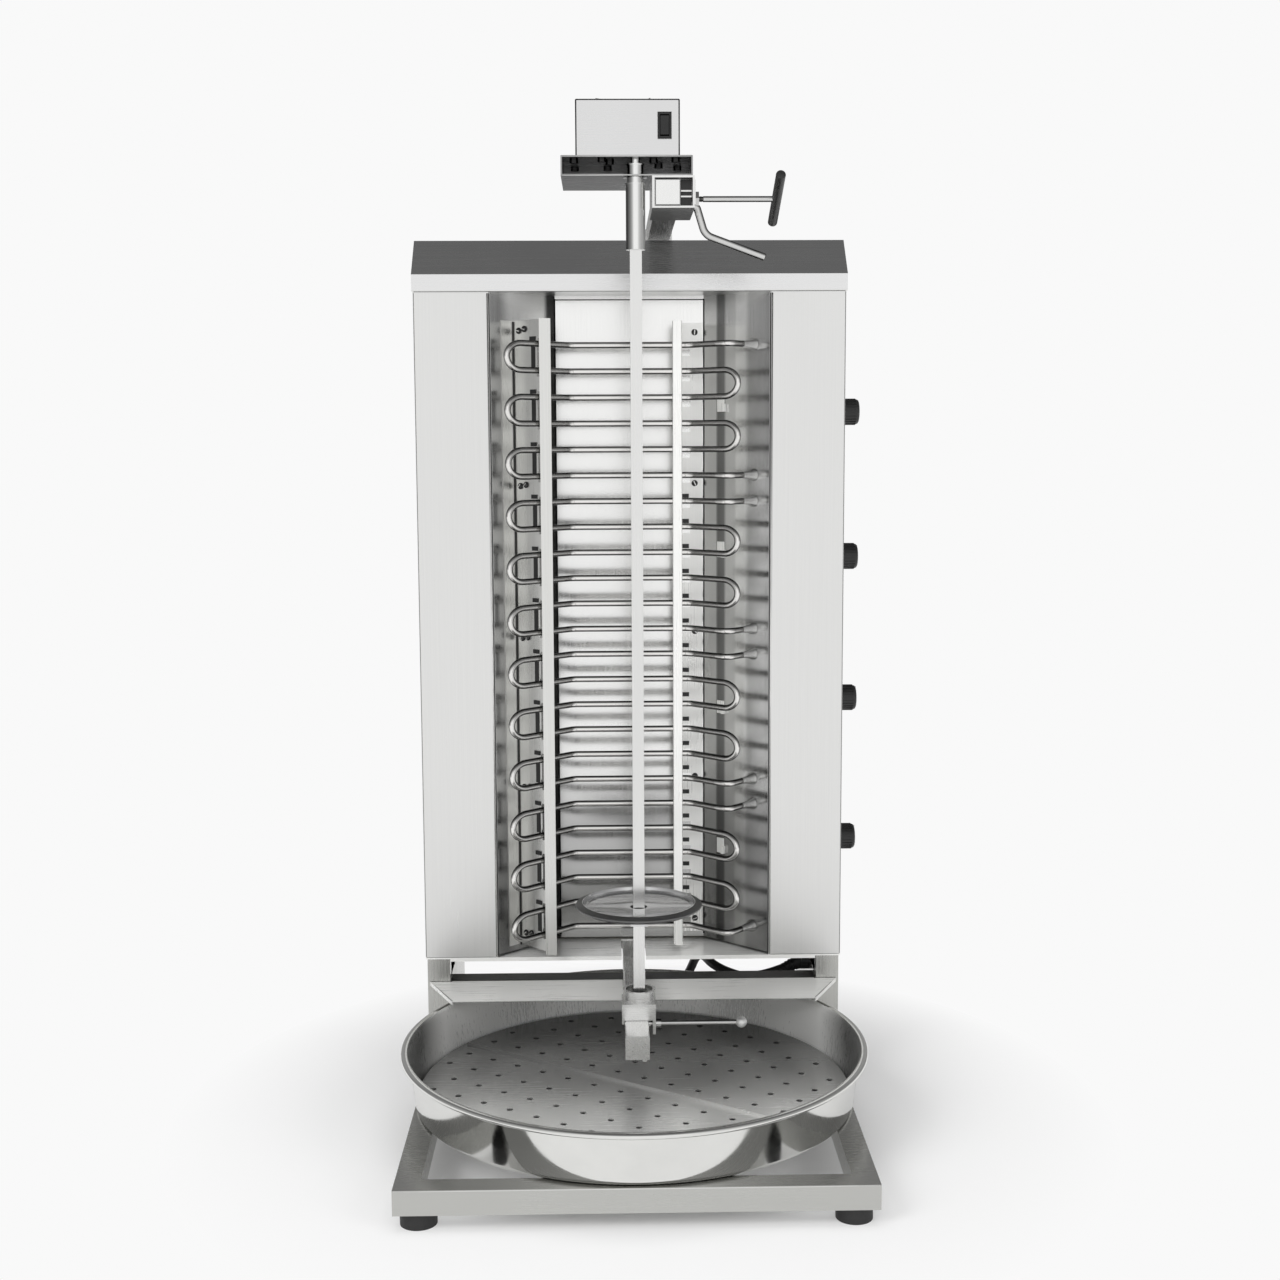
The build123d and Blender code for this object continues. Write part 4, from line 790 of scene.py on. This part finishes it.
# Meat plate: polished dish with a dull bevelled rim
plate_box = local_box("meat_plate")
spit_centre = ((plate_box[0].x + plate_box[1].x) / 2, (plate_box[0].y + plate_box[1].y) / 2, 0)
plate_radius = (plate_box[1].x - plate_box[0].x) / 2
plate_high = plate_box[1].z
plate_low = plate_box[0].z
SOCKET = 8.8
DISH_SIDES = 128
bright_part = [(SOCKET, plate_low + 2.0), (plate_radius - 9, plate_low + 2.0),
               (plate_radius - 8.2, plate_low + 2.4), (plate_radius - 7.9, plate_high - 0.8),
               (plate_radius - 7.5, plate_high - 0.1), (plate_radius - 7.0, plate_high - 0.05)]
dull_part = [(plate_radius - 6.6, plate_high - 0.2), (plate_radius - 0.3, plate_high - 2.6),
             (plate_radius - 0.02, plate_high - 3.1), (plate_radius - 0.3, plate_high - 4.4),
             (plate_radius - 6.3, plate_low + 0.1), (SOCKET, plate_low + 0.05)]
dish = lathe(bright_part + dull_part + [bright_part[0]], spit_centre, sides=DISH_SIDES)
bright_faces = (len(bright_part) - 1) * DISH_SIDES
tints = [0 if index < bright_faces else 1 for index in range(len(dish[1]))]
mesh = mesh_from("meat_plate_spun", *dish, tints=tints)
piece(sharpened(mesh, 30), [plate_steel, rim_steel], "plate", ("meat_plate",))

# Regulator knobs with a ribbed skirt, a tapered grip and a pointer line
RIBS = 24
for number in range(1, ZONES + 1):
    low, high = local_box(f"knob_{number}")
    centre = Vector((low.x, (low.y + high.y) / 2, (low.z + high.z) / 2))
    radius = (high.z - low.z) / 2
    depth = high.x - low.x
    profile = [(0.01, 0.4), (radius - 1.4, 0.4), (radius - 0.2, 1.2), (radius, 2.2), (radius - 0.3, 3.4),
               (radius - 1.6, 4.2), (radius - 1.9, 5.0), (radius - 2.5, depth - 3.2),
               (radius - 3.2, depth - 1.4), (radius - 5.0, depth - 0.3), (radius - 8, depth - 0.1),
               (0.01, depth - 0.6)]
    body = lathe(profile, centre, (1, 0, 0), 72)
    ribs = []
    for rib in range(RIBS):
        angle = 2 * pi * (rib + 0.5) / RIBS
        out = Vector((0, cos(angle), sin(angle)))
        side = Vector((0, -sin(angle), cos(angle)))
        start = centre + Vector((5.6, 0, 0)) + out * (radius - 2.4) - side * 0.5
        ribs.append(slab(start, (depth - 9.6, 0, 0), side * 1.0, out * 0.75))
    mark = slab(centre + Vector((depth - 0.9, -0.7, radius - 11)), (1.0, 0, 0), (0, 1.4, 0), (0, 0, 7))
    mesh = mesh_from(f"knob_cap_{number}", *two_tone([body] + ribs, [mark]))
    piece(sharpened(mesh), [knob_plastic, mark_white], f"knob_{number}_turning",
          (f"knob_{number}",))

# Clamp screw with its thread, tee grip, handle and ball
low, high = local_box("clamp_screw")
screw_centre = (low + high) / 2
screw_radius = (high.z - low.z) / 2
grip_low, grip_high = local_box("clamp_grip")
line, radii = [], []
x = low.x
THREAD_PITCH = 1.5
while x < low.x + 22:
    line += [Vector((x, screw_centre.y, screw_centre.z)), Vector((x + 0.6, screw_centre.y, screw_centre.z))]
    radii += [screw_radius, screw_radius - 0.6]
    x += THREAD_PITCH
line += [Vector((x, screw_centre.y, screw_centre.z)), Vector((high.x, screw_centre.y, screw_centre.z))]
radii += [screw_radius, screw_radius]
mesh = mesh_from("clamp_thread", *tube(line, radii, sides=20))
piece(sharpened(mesh, 25), [fastener_steel], "clamp", ("clamp_screw",))

GRIP_RADIUS = 5.0
GRIP_HALF = 47.6
GRIP_ROUND = 2.0
grip_centre = (grip_low + grip_high) / 2
grip_size = grip_high - grip_low
grip_lean = atan2(grip_size.z - 1.44 * GRIP_RADIUS, grip_size.y - 0.70 * GRIP_RADIUS)
grip_line = Vector((0, -cos(grip_lean), sin(grip_lean)))
flat_radius = GRIP_RADIUS - GRIP_ROUND
flat_end = GRIP_HALF - GRIP_ROUND
profile = [(0.01, -GRIP_HALF)]
profile += [(flat_radius + GRIP_ROUND * sin(a), -flat_end - GRIP_ROUND * cos(a))
            for a in (0.3, 0.8, 1.2, 1.57)]
profile += [(flat_radius + GRIP_ROUND * cos(a), flat_end + GRIP_ROUND * sin(a))
            for a in (0, 0.4, 0.8, 1.3)]
profile.append((0.01, GRIP_HALF))
mesh = mesh_from("tee_grip", *lathe(profile, grip_centre, grip_line, 40))
piece(sharpened(mesh), [grip_plastic], "clamp", ("clamp_grip",))

low, high = local_box("pull_handle")
HANDLE_RADIUS = 3.9
HANDLE_BEND = 15.0
y = (low.y + high.y) / 2
top = high.z - 0.2
handle = rounded([(low.x + 0.2, y, top), (low.x + 4.5, y, top), (low.x + 13, y, top - 28),
                  (low.x + 75.5, y, top - 51)], HANDLE_BEND, 10)
end = handle[-1]
back = (handle[-2] - end).normalized()
handle[-1] = end + back * 1.2
radii = [HANDLE_RADIUS] * len(handle)
handle += [end + back * 0.5, end + back * 0.05]
radii += [3.0, 1.2]
mesh = mesh_from("pull_handle_bent", *tube(handle, radii, sides=24))
piece(sharpened(mesh), [fastener_steel], "carriage", ("pull_handle",))

low, high = local_box("screw_ball")
ball_radius = (high.z - low.z) / 2
ball_centre = ((low.x + high.x) / 2 + 0.3, (low.y + high.y) / 2, (low.z + high.z) / 2)
BALL_STEPS = 24
profile = [(max(0.01, ball_radius * sin(pi * step / BALL_STEPS)), -ball_radius * cos(pi * step / BALL_STEPS))
           for step in range(BALL_STEPS + 1)]
mesh = mesh_from("ball_end", *lathe(profile, ball_centre, (1, 0, 0), 48))
piece(mesh, [ball_steel], "seat_clamp", ("screw_ball",))

# Domed screws on the motor housing
low, high = local_box("housing_screws")
domes, grooves = [], []
for x in (low.x + 4, high.x - 4):
    for y in (low.y + 4, high.y - 4):
        dome, groove = screw_head((x, y, low.z), (0, 0, 1), 4.0, 2.45, 0.5 + 0.02 * x)
        domes.append(dome)
        grooves.append(groove)
mesh = mesh_from("housing_screw_heads", *joined(domes + grooves))
piece(sharpened(mesh), [dark_steel_and_shade], "carriage", ("housing_screws",))

# Strain relief on the cord, behind the gland
relief_start = Vector(cord_route[0])
relief_way = (Vector(cord_route[1]) - relief_start).normalized()
profile = [(CORD_RADIUS + 0.05, 0.2), (9.0, 0.2), (9.2, 3), (8.2, 6)]
RING_PITCH = 4.6
for ring in range(5):
    rise = RING_PITCH * ring
    crest, valley = 8.0 - 0.45 * ring, 7.0 - 0.3 * ring
    profile += [(crest, 7 + rise), (crest, 9.6 + rise), (valley, 10 + rise), (valley, 11.2 + rise)]
profile += [(CORD_RADIUS + 0.6, 31), (CORD_RADIUS + 0.05, 31.2), (CORD_RADIUS + 0.05, 0.2)]
mesh = mesh_from("strain_relief", *lathe(profile, relief_start, relief_way, 40))
piece(sharpened(mesh), [cord_rubber], "stand")


# Small pieces on the frame, the apron, the carriage and the hood


def weld(line, radius, seed):
    """A ripple-shaped weld bead along a line in millimetres."""
    start, end = Vector(line[0]), Vector(line[1])
    count = max(6, int((end - start).length / 1.1))
    points, radii = [], []
    for step in range(count + 1):
        share = step / count
        points.append(start + (end - start) * share)
        wave = 0.86 + 0.14 * sin(2.9 * step + seed) * cos(1.3 * step)
        radii.append(radius * wave * min(1.0, 4 * share + 0.35, 4 * (1 - share) + 0.35))
    return tube(points, radii, sides=10)


leg_box_left = local_box("leg_left")
leg_box_right = local_box("leg_right")
base_box = local_box("base_frame")
arm_box = local_box("lower_arm")
rear_box = local_box("rear_crossbar")
beads = []
BEAD_RADIUS = 1.3
TUBE_SIZE = 25.0
y, z = leg_box_left[0].y - 0.3, base_box[1].z + 0.4
for x0, x1 in ((leg_box_left[0].x + 5, leg_box_left[1].x), (leg_box_right[0].x, leg_box_right[1].x - 11)):
    beads.append(weld([(x0, y, z), (x1, y, z)], BEAD_RADIUS, x0))
y = rear_box[0].y - 0.2
for x in (arm_box[0].x, arm_box[1].x):
    beads.append(weld([(x, y, rear_box[0].z + 2), (x, y, rear_box[1].z - 2)], BEAD_RADIUS, x))
piece(mesh_from("weld_beads", *joined(beads)), [bead_steel], "stand")

# Mitre seams on the base frame's corners
seams = []
z = base_box[1].z - 0.72
for x_side, y_side in ((0, 0), (1, 0), (0, 1), (1, 1)):
    corner = Vector((base_box[x_side].x, base_box[y_side].y, z))
    inward = Vector((1 - 2 * x_side, 1 - 2 * y_side, 0))
    seams.append(tube([corner + inward * 1.2, corner + inward * (TUBE_SIZE - 1.2)], 0.7, sides=8))
piece(mesh_from("mitre_seams", *joined(seams)), [bead_steel], "stand")

# Folded edges of the apron
apron_low, apron_high = local_box("apron")
APRON_HALF = 207.0
APRON_FOOT = 110.6
y = apron_low.y + 0.9
folds = []
for hand in (-1, 1):
    rear_end = (hand * (apron_high.x - 1.0), -1.0, apron_high.z - 0.9)
    front_end = (hand * (APRON_HALF - 0.5), apron_low.y + 0.8, APRON_FOOT + 0.6)
    folds.append(tube([rear_end, front_end], 0.9, sides=10))
folds.append(tube([(0.6 - APRON_HALF, y, APRON_FOOT), (APRON_HALF - 0.6, y, APRON_FOOT)], 0.85, sides=10))
piece(mesh_from("apron_edges", *joined(folds)), [edge_steel], "stand")

# Guide plate beside the carriage sleeve
sleeve_low, sleeve_high = local_box("carriage_sleeve")
plate = slab((sleeve_high.x + 0.02, sleeve_low.y + 3, sleeve_low.z + 3.5), (1.0, 0, 0),
             (0, sleeve_high.y - sleeve_low.y - 6, 0), (0, 0, sleeve_high.z - sleeve_low.z - 7))
mesh = bevelled(mesh_from("sleeve_plate", *plate), 0.3)
piece(mesh, [carriage_steel], "carriage")

# Window rims in the legs
WINDOW_FRONT, WINDOW_BACK = 14.0, 60.0
WINDOW_FOOT, WINDOW_TOP = 122.4, 142.4
outline = [(WINDOW_FRONT, WINDOW_FOOT), (WINDOW_BACK, WINDOW_FOOT), (WINDOW_BACK, WINDOW_TOP),
           (WINDOW_FRONT, WINDOW_TOP)]
shapes = []
for x in (leg_box_left[1].x - 0.6, leg_box_right[0].x + 0.6):
    for start, end in zip(outline, outline[1:] + outline[:1]):
        shapes.append(tube([(x, *start), (x, *end)], 0.75, sides=8))
piece(mesh_from("window_rims", *joined(shapes)), [edge_steel], "stand")

# Bezel of the rocker switch
body_low, body_high = local_box("switch_body")
y = body_low.y + 0.55
x0, x1, z0, z1 = body_low.x + 0.8, body_high.x - 0.8, body_low.z + 0.8, body_high.z - 0.8
loop = rounded([((x0 + x1) / 2, y, z0), (x1, y, z0), (x1, y, z1), (x0, y, z1), (x0, y, z0),
                ((x0 + x1) / 2, y, z0)], 1.6, 5)
mesh = mesh_from("switch_bezel", *tube(loop, 0.75, sides=10, closed=False))
piece(mesh, [switch_plastic], "carriage")

# Rounded lip along the front of the hood
hood_low, hood_high = local_box("roof_hood")
y, z = hood_low.y + 0.7, hood_low.z + 0.8
mesh = mesh_from("hood_hem", *tube([(hood_low.x + 1, y, z), (hood_high.x - 1, y, z)], 0.7, sides=10))
piece(mesh, [edge_steel], "stand")

# Cup rim, turned bright
seat_high = local_box("spit_seat")[1]
CUP_RADIUS = 17.2
profile = arc((CUP_RADIUS - 1.5, seat_high.z - 0.75), 0.72, 0, 360, 12)
mesh = mesh_from("cup_rim", *lathe(profile, (spit_centre[0], spit_centre[1], 0), sides=64))
piece(mesh, [edge_steel], "seat")

# Painted shade inside the carriage sleeve, beside the arm: a dark slab, with two bright strips in front of it
# as painted highlights
arm_high = local_box("upper_arm")[1]
sleeve_gap = sleeve_high.x - arm_high.x
shade = slab((arm_high.x + 0.6, sleeve_low.y + 13, sleeve_low.z + 2.2), (sleeve_gap - 3.2, 0, 0), (0, 1.0, 0),
             (0, 0, sleeve_high.z - sleeve_low.z - 4.4))
glint_strips = [slab((arm_high.x + 1.0, sleeve_low.y + 10, sleeve_low.z + rise), (sleeve_gap - 3.8, 0, 0),
               (0, 2.6, 0), (0, 0, 1.6)) for rise in (11.5, 17.0)]
mesh = mesh_from("sleeve_shade_and_glints", *two_tone([shade], glint_strips), smooth=False)
piece(mesh, [dark_steel_and_shade, edge_steel], "carriage")


def edge_line(name, lines, radius, material, body):
    """Thin rounded tubes along lines in millimetres, as edges or as lines of painted shade."""
    piece(mesh_from(name, *joined([tube(line, radius, sides=8) for line in lines])), [material], body)


def across(x0, x1, y, z):
    """A level line from side to side."""
    return (x0, y, z), (x1, y, z)


def upright(x, y, z0, z1):
    """A line straight up."""
    return (x, y, z0), (x, y, z1)


# Folded edges that show as fine bright lines, and fine dark lines of painted shade along edges, folds and
# gaps
# Painted shade lines round the motor housing's front
low, high = local_box("motor_housing")
y = low.y + 0.55
left, right = low.x + 0.6, high.x - 0.6
foot, top = low.z + 0.6, high.z - 0.6
lines = [upright(left, y, foot, top), across(left, right, y, top), upright(right, y, top, foot)]
edge_line("housing_shade_lines", lines, 0.8, dark_steel_and_shade, "carriage")
low, high = local_box("motor_tray")
y = low.y + 0.4
edge_line("tray_edges", [across(low.x + 1, high.x - 1, y, z) for z in (high.z - 0.5, low.z + 0.6)],
          0.7, edge_steel, "carriage")
low = local_box("casing_left")[0]
high = local_box("casing_right")[1]
y = low.y - 0.1
# Bright lines along the opening's edges; dark lines as painted shade inside them, along the casing's foot and
# outer edges, and under the hood's lip
bright_lines, shade_lines = [], []
for hand in (-1, 1):
    bright_lines.append(upright(hand * (OPENING_HALF + 1.2), y + 0.5, low.z + 1, high.z - 2))
    shade_lines.append(upright(hand * (OPENING_HALF - 0.4), y + 1.0, low.z + 1, high.z - 2))
    shade_lines.append(across(hand * (OPENING_HALF + 2), hand * (high.x - 1), y + 0.8, low.z + 0.5))
    shade_lines.append(upright(hand * (high.x - 0.5), y + 0.8, low.z + 1, high.z - 1))
shade_lines.append(across(1 - high.x, high.x - 1, y - 0.6, high.z + 0.4))
edge_line("casing_edges_bright", bright_lines, 1.1, edge_steel, "stand")
edge_line("casing_shade_lines", shade_lines, 0.8, dark_steel_and_shade, "stand")
low, high = local_box("bracket_right")
edge_line("bar_edges", [upright(low.x + shift, low.y - 0.05, low.z + 4, high.z - 1) for shift in (0.3, 10.4)],
          0.25, edge_steel, "stand")
# Painted shade lines round the upper arm's front face
low, high = local_box("upper_arm")
y = low.y + 0.5
left, right = low.x + 0.4, high.x - 0.4
foot, top = low.z + 0.4, high.z - 0.4
lines = [across(left, right, y, foot), upright(right, y, foot, top), across(right, left, y, top),
         upright(left, y, top, foot)]
edge_line("arm_shade_lines", lines, 0.6, dark_steel_and_shade, "stand")
# Painted shade lines in the reflector's two folds and along its top
PANEL_FOOT = 155.0
y = PANEL_Y - 0.6
top = local_box("reflector")[1].z - 4
lines = [upright(hand * PANEL_X, y, PANEL_FOOT, top + 1) for hand in (-1, 1)]
lines.append(across(-PANEL_X, PANEL_X, y, top))
edge_line("reflector_fold_shade", lines, 0.6, dark_steel_and_shade, "stand")
# Rounded top front edge of the base frame in lighter steel than the rail: a real edge, partly a painted
# highlight
low, high = base_box
edge_line("frame_edge_highlight", [across(low.x + 1, high.x - 1, low.y + 0.8, high.z - 1.0)], 0.9, edge_steel, "stand")


# Studio


def emitter(name, centre, size, power):
    """A soft lamp that looks at the object's middle and makes no highlight of its own."""
    data = bpy.data.lights.new(name, "AREA")
    data.shape = "RECTANGLE"
    data.size, data.size_y = size
    data.energy = power
    lamp = bpy.data.objects.new(name, data)
    bpy.context.scene.collection.objects.link(lamp)
    lamp.location = centre
    lamp.rotation_euler = (LAMP_AIM - Vector(centre)).to_track_quat("-Z", "Y").to_euler()
    lamp.visible_glossy = False


LAMP_AIM = Vector((0, 0, 0.55))
emitter("key", (-2.4, -2.4, 2.6), (1.6, 2.0), 80)
emitter("fill", (2.6, -2.2, 1.8), (1.4, 2.0), 34)
emitter("top", (0, -0.3, 3.4), (2.4, 2.0), 40)

world = bpy.data.worlds.new("studio")
bpy.context.scene.world = world
world.use_nodes = True
sky = world.node_tree
background = sky.nodes["Background"]
coordinate = sky.nodes.new("ShaderNodeTexCoord")
parts = sky.nodes.new("ShaderNodeSeparateXYZ")
sky.links.new(coordinate.outputs["Generated"], parts.inputs["Vector"])


height = spread(sky, parts.outputs["Z"], 0, 1, -1, 1)
side = spread(sky, parts.outputs["X"], 0, 1, -1, 1)
depth = spread(sky, parts.outputs["Y"], 0, 1, -1, 1)
by_height = curve(sky, height, [
    (0.0, 1.0), (0.45, 1.0), (0.66, 1.0), (0.80, 0.62), (0.92, 0.22), (1.0, 0.15),
])
by_side = curve(sky, side, [(0.0, 0.42), (0.16, 0.62), (0.32, 1.0), (0.68, 1.0), (0.84, 0.62), (1.0, 0.42)])
by_depth = curve(sky, depth, [(0.0, 1.0), (0.55, 0.9), (0.75, 0.45), (1.0, 0.30)])
surround = combined(sky, combined(sky, by_height, by_side, "MULTIPLY"), by_depth, "MULTIPLY")
paths = sky.nodes.new("ShaderNodeLightPath")
BACKDROP = 0.947
straight = combined(sky, paths.outputs["Is Camera Ray"], paths.outputs["Is Transmission Ray"], "MAXIMUM")
level = tinted(sky, straight, surround, (BACKDROP,) * 3)
sky.links.new(level, background.inputs["Color"])
background.inputs["Strength"].default_value = 1.0

# Floor: white all the way to the backdrop, with the object's soft shadow near it
floor_material, tree, shader = new_material("floor")
coordinate = tree.nodes.new("ShaderNodeNewGeometry")
length = tree.nodes.new("ShaderNodeVectorMath")
length.operation = "LENGTH"
tree.links.new(coordinate.outputs["Position"], length.inputs[0])
share = spread(tree, length.outputs["Value"], 0.12, 1.0, 0.28, 0.52)
glow = tree.nodes.new("ShaderNodeEmission")
glow.inputs["Color"].default_value = (BACKDROP,) * 3 + (1,)
shader.inputs["Base Color"].default_value = (0.90, 0.90, 0.90, 1)
shader.inputs["Roughness"].default_value = 0.95
shader.inputs["Specular IOR Level"].default_value = 0.0
paths = tree.nodes.new("ShaderNodeLightPath")
seen = combined(tree, paths.outputs["Is Camera Ray"], paths.outputs["Is Glossy Ray"], "MAXIMUM")
lit = combined(tree, seen, share, "MULTIPLY")
mixer = tree.nodes.new("ShaderNodeMixShader")
tree.links.new(lit, mixer.inputs[0])
tree.links.new(shader.outputs["BSDF"], mixer.inputs[1])
tree.links.new(glow.outputs["Emission"], mixer.inputs[2])
tree.links.new(mixer.outputs["Shader"], tree.nodes["Material Output"].inputs["Surface"])
FLOOR_HALF = 30.0
floor_mesh = bpy.data.meshes.new("floor")
floor_corners = [(x * FLOOR_HALF, y * FLOOR_HALF, 0) for x, y in ((-1, -1), (1, -1), (1, 1), (-1, 1))]
floor_mesh.from_pydata(floor_corners, [], [(0, 1, 2, 3)])
floor_mesh.materials.append(floor_material)
floor = bpy.data.objects.new("floor", floor_mesh)
bpy.context.scene.collection.objects.link(floor)


def corners(box):
    """A box as two lists of numbers."""
    return [list(box[0]), list(box[1])]
